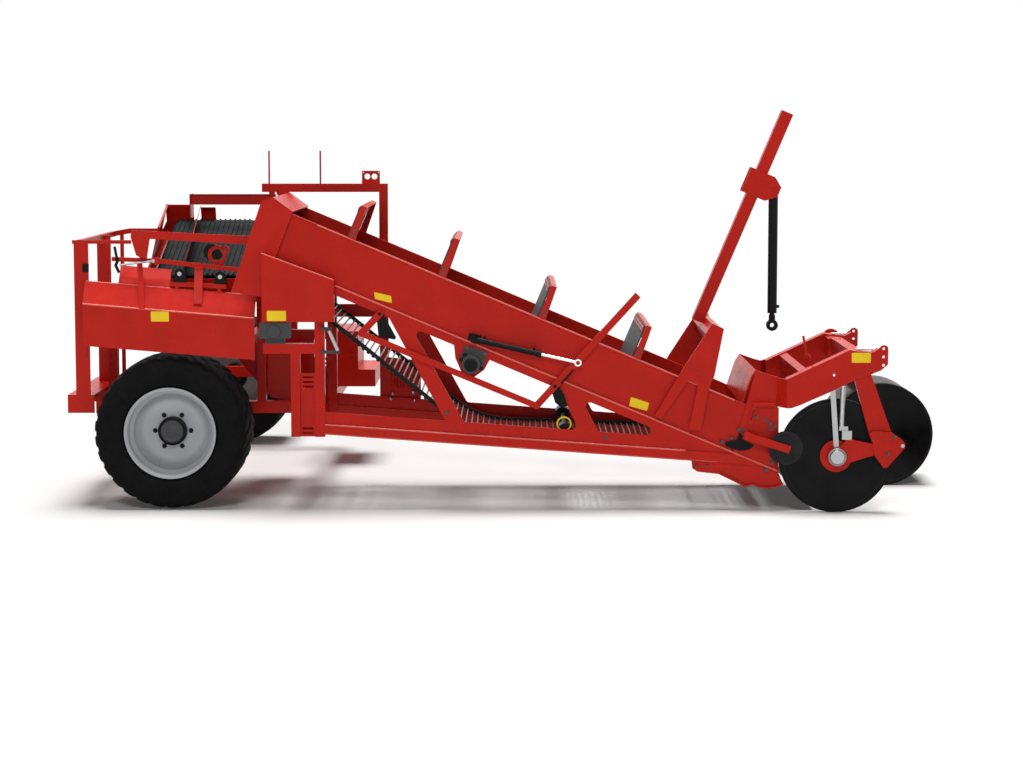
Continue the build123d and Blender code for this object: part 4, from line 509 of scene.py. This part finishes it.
def tyre_surface(middle, sizes):
    """Tyre as a closed grid of turn angle a and place on the profile. The radius is the profile's, less the tread
    depth wherever the slanted bar pattern is in a groove: the pattern is a rounded square wave of
    bars * a + lean * |w|, where w is the distance from the tyre's middle, with its two halves half a bar apart.
    It stops at the middle rib and below the shoulders. Two fine raised rings go round each side wall."""
    half = TYRE_WIDTH / 2
    knots = np.array(TYRE_SECTION + [(TYRE_RADIUS, half)]) - [0, half]
    knots = np.concatenate([knots, knots[-2::-1] * [1, -1]])
    length = np.concatenate([[0], np.cumsum(np.linalg.norm(np.diff(knots, axis=0), axis=1))])
    fine = np.interp(np.linspace(0, length[-1], TYRE_KNOTS), length, np.arange(len(knots)))
    r, w = [np.interp(fine, np.arange(len(knots)), column) for column in knots.T]
    a = np.linspace(0, 2 * np.pi, TYRE_STEPS, endpoint=False)[:, None]
    lean, steepness, bar_share, rib_half = 22.0, 14, 0.25, 0.035
    shoulder, shoulder_width = 0.462, 0.02
    wave = np.sin(sizes.tread_bars * a + lean * np.abs(w) + np.where(w > 0, np.pi, 0.0))
    groove = 1 / (1 + np.exp(steepness * (wave + bar_share)))
    rib = np.clip(1 - (np.abs(w) / rib_half) ** 4, 0, 1)
    groove = groove * (1 - rib) * np.clip((r - shoulder) / shoulder_width, 0, 1)
    rings = 0.0012 * (np.exp(-((r - 0.345) / 0.003) ** 2) + np.exp(-((r - 0.43) / 0.0035) ** 2))
    fade = np.clip((r - 0.45) / 0.05, 0.25, 1)
    reach = r - sizes.tread_depth * groove * fade
    out = w + np.sign(w) * (rings - 0.002) + 0 * a
    points = np.stack([reach * np.cos(a), out, reach * np.sin(a)], -1)
    bore_radius, bore_half = 0.283, half - 0.05
    bore = np.stack([bore_radius * np.cos(a), 0 * a + bore_half, bore_radius * np.sin(a)], -1)
    points = np.concatenate([points, bore, bore * [1, -1, 1]], 1)
    return shell(points + [AXLE_X, middle, AXLE_Z], True)


def rim_profile():
    """Section of the rolled rim as radius and place across, from the tables that count inward from its two edges."""
    half = TYRE_WIDTH / 2
    front, back, dish = np.array(RIM_FRONT), np.array(RIM_BACK), np.array(RIM_DISH)
    return np.concatenate([front * [1, -1] + [0, half], back - [0, half], dish * [1, -1] + [0, half]])


class HARVESTER_OT_wheels(bpy.types.Operator):
    """Puts the treaded tyres and the pressed rims on both wheels"""

    bl_idname = "harvester.wheels"
    bl_label = "Tyres and rims"

    def execute(self, context):
        sizes = context.scene.harvester_sizes
        for name, out in SIDES:
            low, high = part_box("tyre_" + name)
            middle, body = (low.y + high.y) / 2, "wheel_" + name
            tyre = new_piece("treaded_tyre_" + name, *tyre_surface(middle, sizes), "tyre rubber", "tyre", body)
            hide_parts("tyre_" + name)
            rolled = lathe(rim_profile() * [1, out], (AXLE_X, middle, AXLE_Z), 128)
            rim = new_piece("pressed_rim_" + name, *rolled, "rim paint", "rim_paint", body)
            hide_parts("rim_" + name)
        return {"FINISHED"}


# ------------------------------------------------------------------ sieve web
DRIVE_RADIUS, FRONT_RADIUS = 0.085, 0.060
WEB_HALF, BELT_WIDTH, BELT_THICK = 0.460, 0.060, 0.019
# how far a rod reaches into its belt, the clamp over its end, and the clamp's two rivets
ROD_INTO_BELT, CLAMP_SIZE, RIVET_SHIFT, RIVET_RADIUS = 0.004, (0.022, 0.056, 0.009), 0.015, 0.0055
# middles of both rollers as s and n on the elevator floor, with the rollers' tops 0.100 over its line
DRIVE_PLACE, FRONT_PLACE = (-0.330, 0.100 - DRIVE_RADIUS), (3.130, 0.100 - FRONT_RADIUS)
# the return rail: x and z at its rear end, its fall for each metre forward, and x of the idler at its front
RAIL_X, RAIL_Z, RAIL_FALL, IDLER_X = 2.603, 0.475, 0.0325, 3.450
# the slack run's angle below level, and the radius in which it bends to the rail
SLACK_ANGLE, SLACK_BEND = math.radians(38.7), 0.600


def arc(x, z, radius, first, last, step=5.0):
    """Points on an arc about (x, z), from one angle in degrees to another."""
    a = np.radians(np.linspace(first, last, max(2, int(abs(last - first) / step) + 1)))
    return np.stack([x + radius * np.cos(a), z + radius * np.sin(a)], -1)


def web_line():
    """Inner line of the web in x and z, counted from the axle and the ground: round the drive roller, slack down to
    the rail, along it over the idler, round the front roller, and straight up the elevator's floor."""
    up = 90 - math.degrees(math.atan(FLOOR_FALL))
    drive, front = [(on_floor(s, n, 0) - at(0, 0, 0))[[0, 2]] for s, n in (DRIVE_PLACE, FRONT_PLACE)]
    slack, rail = SLACK_ANGLE, math.atan(RAIL_FALL)
    first = arc(*drive, DRIVE_RADIUS, up, 270 - math.degrees(slack))
    fall = math.tan(slack)
    meet = (first[-1, 1] + fall * first[-1, 0] - RAIL_Z - RAIL_FALL * RAIL_X) / (fall - RAIL_FALL)
    meet_z = first[-1, 1] - fall * (meet - first[-1, 0])
    reach = SLACK_BEND * math.tan((slack - rail) / 2)
    centre = (meet - reach * math.cos(slack) + SLACK_BEND * math.sin(slack),
              meet_z + reach * math.sin(slack) + SLACK_BEND * math.cos(slack))
    second = arc(*centre, SLACK_BEND, 270 - math.degrees(slack), 270 - math.degrees(rail), 1.5)
    idler = np.array([IDLER_X, RAIL_Z - RAIL_FALL * (IDLER_X - RAIL_X)])
    away = np.hypot(*(front - idler))
    lead = math.atan2(idler[1] - front[1], front[0] - idler[0]) + math.asin(FRONT_RADIUS / away)
    last = arc(*front, FRONT_RADIUS, 270 - math.degrees(lead), 360 + up)
    return np.concatenate([first, second, idler[None], last])


def even_places(line, pitch, outward):
    """Places an even pitch apart round a closed line, moved outward, and the headings there."""
    loop = np.concatenate([line, line[:1]])
    step = np.diff(loop, axis=0)
    run = np.concatenate([[0], np.cumsum(np.hypot(*step.T))])
    count = int(run[-1] // pitch)
    t = (np.arange(count) + 0.5) * run[-1] / count
    span = np.searchsorted(run, t) - 1
    heading = np.arctan2(step[span, 1], step[span, 0])
    x, z = np.interp(t, run, loop[:, 0]), np.interp(t, run, loop[:, 1])
    return np.stack([x + outward * np.sin(heading), z - outward * np.cos(heading)], -1), heading


class HARVESTER_OT_sieve_web(bpy.types.Operator):
    """Makes the sieve web: two moulded belts grooved on the inside, round steel rods and their riveted clamps"""

    bl_idname = "harvester.sieve_web"
    bl_label = "Sieve web"

    def execute(self, context):
        sizes = context.scene.harvester_sizes
        line = web_line()
        inner, t = WEB_HALF - BELT_WIDTH, BELT_THICK
        section = np.array([(0.0, 0.0), (0.022, 0.0), (0.024, 0.0025), (0.036, 0.0025), (0.038, 0.0), (0.058, 0.0),
                            (0.060, 0.002), (0.060, t - 0.002), (0.058, t), (0.002, t), (0.0, t - 0.002)])
        belts = [swept_belt(line, (section + [inner, 0]) * [side, 1]) for side in (-1, 1)]
        belt = new_piece("web_belts", *joined(*belts), "belt rubber", "black_rubber")
        places, headings = even_places(line, sizes.rod_pitch, t / 2)
        span = inner + ROD_INTO_BELT
        rod = pipe([(0, -span, 0), (0, span, 0)], sizes.rod_diameter / 2, 10)
        rods = new_piece("web_rods", *along_line(*rod, places, headings), "rod steel", "worn_steel")
        clamp, dome = pillow(*CLAMP_SIZE), rivet()
        clamps, rivets = [], []
        for side in (-1, 1):
            middle = side * (inner + BELT_WIDTH / 2)
            clamps.append(along_line(clamp[0] + [0, middle, t / 2 - 0.001], clamp[1], places, headings))
            for shift in (-RIVET_SHIFT, RIVET_SHIFT):
                head = dome[0] * RIVET_RADIUS + [0, middle + shift, t / 2 + 0.0075]
                rivets.append(along_line(head, dome[1], places, headings))
        new_piece("web_clamps", *joined(*clamps), "belt rubber", "black_rubber")
        new_piece("web_rivets", *joined(*rivets), "rod steel", "worn_steel")
        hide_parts("sieve_web")
        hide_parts("sieve_web")
        return {"FINISHED"}


# ------------------------------------------------------------------ fasteners
# distances from the channel's middle to the faces that carry bolts
SHEET_OUT, PLATE_OUT, FLANGE_OUT = 0.480, 0.490, 0.500
# the way that bolts on the near side face
NEAR = (0.0, -1.0, 0.0)
# bolts of each side plate: x from the axle, height, and size for one of the common bolt
SIDE_PLATE_BOLTS = [
    (3.742, 0.536, 1.0), (3.775, 0.538, 0.8), (3.762, 0.509, 0.8), (3.961, 0.356, 1.0), (3.961, 0.318, 1.0),
    (3.922, 0.270, 1.0), (3.631, 0.456, 1.0), (3.690, 0.480, 0.9), (3.792, 0.489, 0.9), (3.853, 0.622, 1.0),
    (3.912, 0.602, 0.8), (3.945, 0.579, 1.0), (3.978, 0.560, 0.8), (3.956, 0.538, 0.8)]
# bridges of the rubber flaps: place s down the elevator floor, and the flap's height n over it
BRIDGE_PLACES = [(0.059, 0.560), (0.697, 0.600), (1.404, 0.560), (2.079, 0.560)]
# nuts of a wheel, the radius of their circle, and how far the rim's disc lies inside the tyre's face
WHEEL_NUTS, NUT_CIRCLE, RIM_DISC_DEPTH = 6, 0.1185, 0.148
# section of a hub cap: radius and height over the hub's end
HUB_CAP = [(0.0, -0.001), (0.074, -0.001), (0.074, 0.002), (0.070, 0.0045), (0.062, 0.0045), (0.058, 0.002),
           (0.040, 0.001), (0.034, 0.005), (0.024, 0.008), (0.0, 0.009)]


def bolt_rows():
    """All bolts of the frame as rows of place, normal and size for one of the common bolt."""
    rows = []
    for side in (-1, 1):
        out = (0, side, 0)
        for x, z, k in SIDE_PLATE_BOLTS:
            rows.append((*at(x, side * PLATE_OUT, z), *out, k))
        for s, _ in BRIDGE_PLACES:
            for n in (0.358, 0.392):
                rows.append((*on_floor(s + 0.024, n, side * FLANGE_OUT), *out, 0.75))
        for x, z in ((3.535, 0.294), (3.463, 0.294)):
            rows.append((*at(x, side * SHEET_OUT, z), *out, 0.9))
        for x, z in ((1.824, 0.649), (2.868, 0.486)):
            rows.append((*at(x, side * PLATE_OUT, z), *out, 1.0))
    for x, z in ((1.940, 1.040), (1.958, 1.078), (2.074, 1.040), (1.953, 0.932), (2.050, 0.962)):
        rows.append((*at(x, -0.502, z), *NEAR, 0.8))
    for x, z in ((4.700, 0.392), (4.742, 0.505)):
        rows.append((*at(x, -0.612, z), *NEAR, 0.9))
    return np.array(rows)


class HARVESTER_OT_fasteners(bpy.types.Operator):
    """Sets the hexagon bolts of the frame, the hub caps and the wheel nuts"""

    bl_idname = "harvester.fasteners"
    bl_label = "Bolts, hub caps and wheel nuts"

    def execute(self, context):
        sizes = context.scene.harvester_sizes
        rows = bolt_rows()
        turns = np.arange(len(rows)) * 0.7
        bolts = copies(*bolt(), rows[:, :3], rows[:, 3:6], rows[:, 6] * sizes.bolt_size, turns)
        new_piece("frame_bolts", *bolts, "dark bolt steel", "worn_steel")
        a = np.radians(np.arange(WHEEL_NUTS) * 360.0 / WHEEL_NUTS)
        for name, out in SIDES:
            low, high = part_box("hub_" + name)
            end = low.y if out < 0 else high.y
            cap = np.array(HUB_CAP) * [1, out] + [0, end]
            new_piece("hub_cap_" + name, *lathe(cap, (AXLE_X, 0.0, AXLE_Z), 64), "cast grey", "black_paint",
                      "wheel_" + name)
            low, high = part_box("tyre_" + name)
            face = (low.y + high.y) / 2 + out * (TYRE_WIDTH / 2 - RIM_DISC_DEPTH)
            centres = np.stack([AXLE_X + NUT_CIRCLE * np.cos(a), 0 * a + face, AXLE_Z + NUT_CIRCLE * np.sin(a)], -1)
            normals = [(0, out, 0)] * WHEEL_NUTS
            nuts = copies(*bolt(), centres, normals, np.full(WHEEL_NUTS, 0.021), a)
            ends = copies(*bolt(), centres + [0, out * 0.011, 0], normals, np.full(WHEEL_NUTS, 0.012), a)
            new_piece("wheel_nuts_" + name, *joined(nuts, ends), "black paint", "black_paint", "wheel_" + name)
        return {"FINISHED"}


# ------------------------------------------------------------------ flap clamps
# half a strip's length, and how far its two edges and its rivets lie below the flap's top
STRIP_HALF, STRIP_LOW, STRIP_HIGH, STRIP_RIVETS = 0.440, 0.052, 0.020, 0.036


class HARVESTER_OT_flap_clamps(bpy.types.Operator):
    """Puts a steel clamp strip with its row of rivets across the top of each rubber flap"""

    bl_idname = "harvester.flap_clamps"
    bl_label = "Flap clamps"

    def execute(self, context):
        strips, places, normals = [], [], []
        along = np.array([FLOOR_COS, 0.0, -FLOOR_SIN])
        for s, top in BRIDGE_PLACES:
            low, high = top - STRIP_LOW, top - STRIP_HIGH
            for face, way in ((0.0, 1.0), (-0.010, -1.0)):
                near, out = face - way * 0.001, face + way * 0.004
                corners = [(near, low), (near, high), (out, high), (out, low)]
                ends = np.array([[on_floor(s + a, n, d) for a, n in corners] for d in (-STRIP_HALF, STRIP_HALF)])
                closing = np.repeat(ends.mean(1, keepdims=True), 4, 1)
                strips.append(shell(np.concatenate([closing[:1], ends, closing[1:]])))
                for d in np.linspace(-0.4, 0.4, 9):
                    places.append(on_floor(s + out, top - STRIP_RIVETS, d))
                    normals.append(along * way)
        heads = copies(*rivet(), places, normals, np.full(len(places), 0.007))
        new_piece("flap_strips", *joined(*strips), "body red", "red_paint", smooth=False)
        new_piece("flap_rivets", *heads, "dark bolt steel", "worn_steel")
        return {"FINISHED"}


# ------------------------------------------------------------------ discs and drum
class HARVESTER_OT_discs(bpy.types.Operator):
    """Turns the depth drum with its rolled rims and puts the ground edge on the coulter and the trash disc"""

    bl_idname = "harvester.discs"
    bl_label = "Drum and discs"

    def execute(self, context):
        low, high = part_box("depth_drum")
        r, w = (high.z - low.z) / 2, high.y - low.y
        centre = ((low.x + high.x) / 2, low.y, (low.z + high.z) / 2)
        lip = 0.004
        profile = [(0.0262, 0.130), (0.060, 0.130), (0.066, 0.1285), (r - 0.030, 0.0095), (r - 0.024, 0.0035),
                   (r - 0.019, 0.0005), (r - 0.014, 0.0), (r - lip, 0.0), (r - lip * 0.3, lip * 0.3), (r, lip),
                   (r, w * 0.25), (r, w * 0.5), (r, w * 0.75), (r, w - lip), (r - lip * 0.3, w - lip * 0.3),
                   (r - lip, w), (r - 0.014, w), (r - 0.022, w - 0.002), (r - 0.030, w - 0.008), (0.066, w - 0.0585),
                   (0.060, w - 0.060), (0.0262, w - 0.060), (0.0262, w * 0.6)]
        drum = new_piece("turned_drum", *lathe(profile, centre, 160), "drum black", "black_paint", "drum")
        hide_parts("depth_drum")
        for node, body, edge in (("coulter_disc", "coulter", 0.030), ("trash_disc", "trash", 0.010)):
            low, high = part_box(node)
            r, front, back = (high.z - low.z) / 2, low.y, high.y
            t = back - front
            ring = [(r - edge, front - 0.0004), (r - edge * 0.4, front + t * 0.15), (r, front + t * 0.42),
                    (r, front + t * 0.58), (r - edge * 0.4, back - t * 0.15), (r - edge, back + 0.0004)]
            shape = lathe(ring, ((low.x + high.x) / 2, 0.0, (low.z + high.z) / 2), 160)
            new_piece(node + "_edge", *shape, "ground edge", "black_paint", body)
        return {"FINISHED"}


# ------------------------------------------------------------------ folds, plates and fittings
# blank label plates: corners in x and z, and the place across of the face that carries each
PLATES = [
    ([(1.348, 1.444), (1.459, 1.418), (1.465, 1.372), (1.354, 1.398)], -0.480),
    ([(3.032, 0.752), (3.151, 0.713), (3.138, 0.660), (3.019, 0.693)], -0.480),
    ([(0.656, 1.328), (0.780, 1.328), (0.780, 1.262), (0.656, 1.262)], -0.568),
    ([(-0.112, 1.317), (0.005, 1.317), (0.005, 1.251), (-0.112, 1.251)], -0.490),
    ([(4.460, 1.056), (4.584, 1.056), (4.584, 0.991), (4.460, 0.991)], -0.590)]


def rail_edge(x):
    """Height of the lower side rail's top edge."""
    return 0.5707 - 0.0722 * (x - 1.022)


def floor_edge(x):
    """Height of the elevator floor's line."""
    return FLOOR_Z - FLOOR_FALL * (x - FLOOR_X)


FOLD_OUT = 0.4965
# folds of both sides: the edge that each follows, its first and last x, its height over that edge and its radius
SIDE_FOLDS = [(rail_edge, 1.024, 3.39, 0.0, 0.0062), (rail_edge, 1.024, 3.60, -0.060, 0.0040),
              (floor_edge, 1.096, 3.995, 0.0085, 0.0065), (floor_edge, 0.98, 3.71, 0.3565, 0.0055)]
# folds of the near side's table and guard: both ends as x, place across and height, and the radius
NEAR_FOLDS = [((-0.557, -0.4865, 1.3660), (0.563, -0.4865, 1.27192), 0.0060),
              ((-0.557, -0.3650, 1.5050), (0.563, -0.3650, 1.41092), 0.0055),
              ((0.626, -0.5650, 1.7020), (1.090, -0.5650, 1.5290), 0.0045)]


class HARVESTER_OT_folds(bpy.types.Operator):
    """Rounds the outer edges of the folded rails, walls, table and guard, in a lighter red that is a painted
    highlight
    """

    bl_idname = "harvester.folds"
    bl_label = "Rounded folds"

    def execute(self, context):
        lines = [((x0, side * FOLD_OUT, edge(x0) + up), (x1, side * FOLD_OUT, edge(x1) + up), radius)
                 for side in (-1, 1) for edge, x0, x1, up, radius in SIDE_FOLDS]
        bars = []
        for start, end, radius in lines + NEAR_FOLDS:
            start, end = at(*start), at(*end)
            bars.append(pipe(start + (end - start) * np.linspace(0, 1, 4)[:, None], radius, 12))
        # the lighter red on the folds is a painted highlight along the rounded edges
        new_piece("rounded_folds", *joined(*bars), "fold red", "red_paint")
        return {"FINISHED"}


class HARVESTER_OT_plates(bpy.types.Operator):
    """Sets the blank yellow plates on the walls, the guard, the side panel and the head"""

    bl_idname = "harvester.plates"
    bl_label = "Blank plates"

    def execute(self, context):
        shapes = [plate_on(rounded_corners(corners, 0.006), face - 0.0012, face + 0.0003) for corners, face in PLATES]
        new_piece("blank_plates", *joined(*shapes), "plate yellow", "bright_steel", smooth=False)
        return {"FINISHED"}


# middles of the turned fittings, whose sections give their places across
COULTER_HUB, GUIDE_ROLLER, WEB_MOTOR = (4.370, 0, 0.375), (2.593, 0, 0.571), (1.982, 0, 0.976)
# sections of the turned caps: radius and place across
COULTER_CAP = [(0.0, -0.603), (0.0585, -0.603), (0.0585, -0.6245), (0.055, -0.628), (0.0485, -0.6268),
               (0.0455, -0.633), (0.043, -0.6358), (0.031, -0.6352), (0.027, -0.6343), (0.022, -0.6352),
               (0.008, -0.6358), (0.0, -0.6358)]
MOTOR_CAP = [(0.0, -0.589), (0.0435, -0.589), (0.0435, -0.592), (0.036, -0.5945), (0.0, -0.5945)]
# the valve bank: corners of its panel, each spool's x, lower and upper end, and x and z of each tap
VALVE_PANEL = [(1.375, 0.905), (1.608, 0.880), (1.608, 0.560), (1.375, 0.580)]
VALVE_SPOOLS = [(1.412, 0.700, 0.860), (1.455, 0.690, 0.850), (1.498, 0.690, 0.850), (1.545, 0.700, 0.845)]
VALVE_TAPS = [(1.409, 0.655), (1.395, 0.619), (1.551, 0.662), (1.558, 0.605)]
# both ends of the spindle's thread and of the lever's cylinder
THREAD_TOP, THREAD_FOOT = (4.409, -0.575, 0.838), (4.4027, -0.575, 0.574)
CYLINDER_FOOT, CYLINDER_EYE = (2.000, -0.535, 1.140), (2.681, -0.535, 0.985)


class HARVESTER_OT_fittings(bpy.types.Operator):
    """Makes the screw thread, hub rings, motor fittings, guide roller ring, valve bank and cylinder gland"""

    bl_idname = "harvester.fittings"
    bl_label = "Fittings"

    def execute(self, context):
        screw = thread(at(*THREAD_TOP), at(*THREAD_FOOT), radius=0.0155, pitch=0.0130, depth=0.0045)
        new_piece("spindle_thread", *screw, "bright zinc", "bright_steel")
        cap = lathe(COULTER_CAP, at(*COULTER_HUB), 64)
        new_piece("coulter_cap", *cap, "worn steel", "worn_steel")
        skins = [lathe([(0.0, face), (r, face), (r, -0.2784), (0.0, -0.2784)], at(x, 0, z), 48)
                 for x, z, r, face in ((0.262, 1.694, 0.0545, -0.2945), (0.300, 1.676, 0.0305, -0.2985))]
        new_piece("drive_disc_skin", *joined(*skins), "black paint", "black_paint")
        band = arc(0.045, -0.461, 0.0055, 0, 330, 30)
        new_piece("guide_ring", *lathe(band, at(*GUIDE_ROLLER), 40), "plate yellow", "bright_steel")
        ports = [pipe([at(*WEB_MOTOR) + [x * k, -0.545, z * k] for k in (1, 1.55)], 0.011, 12)
                 for x, z in ((-0.050, 0.022), (-0.030, 0.046), (0.050, -0.022))]
        cap = lathe(MOTOR_CAP, at(*WEB_MOTOR), 40)
        new_piece("motor_cap", *joined(cap, *ports), "black paint", "black_paint")
        pin = copies(*rivet(), [at(4.347, -0.5898, 0.909)], [NEAR], [0.0095])
        new_piece("head_pin_cap", *pin, "chrome", "bright_steel")
        panel = plate_on(rounded_corners(VALVE_PANEL, 0.015), 0.502, 0.508)
        spools = [pipe([at(x, 0.495, low), at(x, 0.492, (low + high) / 2), at(x, 0.495, high)], 0.013, 12)
                  for x, low, high in VALVE_SPOOLS]
        new_piece("valve_bank", *joined(panel, *spools), "body red", "red_paint")
        taps = [pipe([at(x, 0.4995, z), at(x, 0.480, z), at(x + 0.004, 0.466, z - 0.012)], 0.009, 10)
                for x, z in VALVE_TAPS]
        new_piece("valve_fittings", *joined(*taps), "bright zinc", "bright_steel")
        foot, eye = at(*CYLINDER_FOOT), at(*CYLINDER_EYE)
        way = (eye - foot) / np.linalg.norm(eye - foot)
        tube, collar = 0.0205, 0.0205 + 0.003
        gland = pipe([foot + way * t for t in (0.425, 0.427, 0.4525, 0.4545)], [tube, collar, collar, tube], 24)
        unions = [pipe([foot + way * t + [0, 0, up] for up in (0.012, 0.036)], 0.008, 10) for t in (0.075, 0.405)]
        new_piece("barrel_fittings", *joined(gland, *unions), "black paint", "black_paint", "lever_tube")
        return {"FINISHED"}


# ------------------------------------------------------------------ stage
# half the floor's side, how strongly it is lifted to white, and the world's strength as a light
FLOOR_HALF, FLOOR_GLOW, WORLD_LIGHT, WHITE = 80.0, 0.045, 0.07, (1, 1, 1, 1)
# the camera's place, its tilt in degrees below level and its focal length in millimetres
CAMERA_PLACE, CAMERA_TILT, CAMERA_LENS = (2.247, -13.715, 2.50), 4.93, 71.44


def seen_as_background(tree, plain, shown):
    """A strength that is plain for light and shown where the camera, a mirror or glass looks at it."""
    rays = tree.nodes.new("ShaderNodeLightPath").outputs
    most = rays["Is Camera Ray"]
    for kind in ("Is Glossy Ray", "Is Transmission Ray"):
        most = wired(tree, "ShaderNodeMath", {}, {0: most, 1: rays[kind]}, operation="MAXIMUM")[0]
    return spread(tree, most, plain, shown, 0.0, 1.0)


def lamp(name, kind, power, turn, **settings):
    """A lamp of a kind and power, turned from straight down by three angles in degrees, with its own settings."""
    made = bpy.data.objects.new(name, bpy.data.lights.new(name, kind))
    made.data.energy = power
    for key, setting in settings.items():
        setattr(made.data, key, setting)
    made.rotation_euler = [math.radians(angle) for angle in turn]
    bpy.context.scene.collection.objects.link(made)
    return made


def light_floor(made, floor, name, state):
    """Keeps a lamp's light to the floor alone, or off the floor."""
    receivers = bpy.data.collections.new(name)
    receivers.objects.link(floor)
    made.light_linking.receiver_collection = receivers
    receivers.collection_objects[0].light_linking.link_state = state


class HARVESTER_OT_stage(bpy.types.Operator):
    """Sets the pale floor, the soft lamps and the camera"""

    bl_idname = "harvester.stage"
    bl_label = "Floor, lamps and camera"

    def execute(self, context):
        scene = context.scene
        scene.view_settings.view_transform = "Standard"
        u = np.linspace(-FLOOR_HALF, FLOOR_HALF, 3)
        grid = np.stack(np.meshgrid(u, u, indexing="ij") + [np.zeros((3, 3)) - 0.0005], -1)
        mesh = bpy.data.meshes.new("floor")
        mesh.from_pydata(grid.reshape(-1, 3).tolist(), [], quads(3, 3).tolist())
        floor = bpy.data.objects.new("floor", mesh)
        scene.collection.objects.link(floor)
        numbers = {"Roughness": 0.9, "Specular IOR Level": 0.0, "Emission Color": WHITE}
        tree, shader, where = material("pale floor", numbers)
        tree.links.new(tinted(tree, noise(tree, where, 0.6), (0.65, 0.645, 0.64), (0.67, 0.665, 0.66)),
                       shader.inputs["Base Color"])
        tree.links.new(seen_as_background(tree, 0.0, FLOOR_GLOW), shader.inputs["Emission Strength"])
        floor.data.materials.append(bpy.data.materials["pale floor"])
        world = bpy.data.worlds.new("studio")
        world.use_nodes = True
        scene.world = world
        tree = world.node_tree
        back = tree.nodes["Background"]
        back.inputs["Color"].default_value = WHITE
        tree.links.new(seen_as_background(tree, WORLD_LIGHT, 1.0), back.inputs["Strength"])
        lamp("overhead lamp", "SUN", 3.9, (-3, 2, 0), angle=math.radians(26))
        front = lamp("front soft box", "AREA", 390.0, (58, 0, 0), shape="RECTANGLE", size=7.0, size_y=3.0)
        front.location = at(1.2, -10.5, 7.4)
        light_floor(front, floor, "not lit by the front soft box", "EXCLUDE")
        slant = lamp("floor lamp", "SUN", 0.8, (45, -6, 0), angle=math.radians(16))
        light_floor(slant, floor, "lit by the floor lamp", "INCLUDE")
        eye = bpy.data.cameras.new("camera")
        eye.sensor_width, eye.lens, eye.shift_y = 36.0, CAMERA_LENS, -0.0772
        camera = bpy.data.objects.new("camera", eye)
        scene.collection.objects.link(camera)
        camera.location = at(*CAMERA_PLACE)
        camera.rotation_euler = (math.radians(90 - CAMERA_TILT), 0.0, 0.0)
        scene.camera = camera
        return {"FINISHED"}


STEPS = ["finishes", "wheels", "sieve_web", "fasteners", "folds", "flap_clamps", "discs", "plates", "fittings",
         "stage"]
CLASSES = [HarvesterSizes, HarvesterColours, HARVESTER_OT_finishes, HARVESTER_OT_wheels, HARVESTER_OT_sieve_web,
           HARVESTER_OT_fasteners, HARVESTER_OT_folds, HARVESTER_OT_flap_clamps, HARVESTER_OT_discs,
           HARVESTER_OT_plates, HARVESTER_OT_fittings, HARVESTER_OT_stage]


class HARVESTER_PT_panel(bpy.types.Panel):
    """Lists the harvester's pieces and their sizes"""

    bl_label = "Potato harvester"
    bl_idname = "HARVESTER_PT_panel"
    bl_space_type = "VIEW_3D"
    bl_region_type = "UI"
    bl_category = "Harvester"

    def draw(self, context):
        column = self.layout.column()
        for group in (context.scene.harvester_sizes, context.scene.harvester_colours):
            for key in type(group).__annotations__:
                column.prop(group, key)
        for step in STEPS:
            column.operator("harvester." + step)


def register():
    for made in CLASSES + [HARVESTER_PT_panel]:
        bpy.utils.register_class(made)
    bpy.types.Scene.harvester_sizes = bpy.props.PointerProperty(type=HarvesterSizes)
    bpy.types.Scene.harvester_colours = bpy.props.PointerProperty(type=HarvesterColours)


def unregister():
    del bpy.types.Scene.harvester_colours
    del bpy.types.Scene.harvester_sizes
    for made in reversed(CLASSES + [HARVESTER_PT_panel]):
        bpy.utils.unregister_class(made)


def main():
    """Registers the add-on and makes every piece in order."""
    register()
    for step in STEPS:
        getattr(bpy.ops.harvester, step)()


if __name__ == "__main__":
    main()
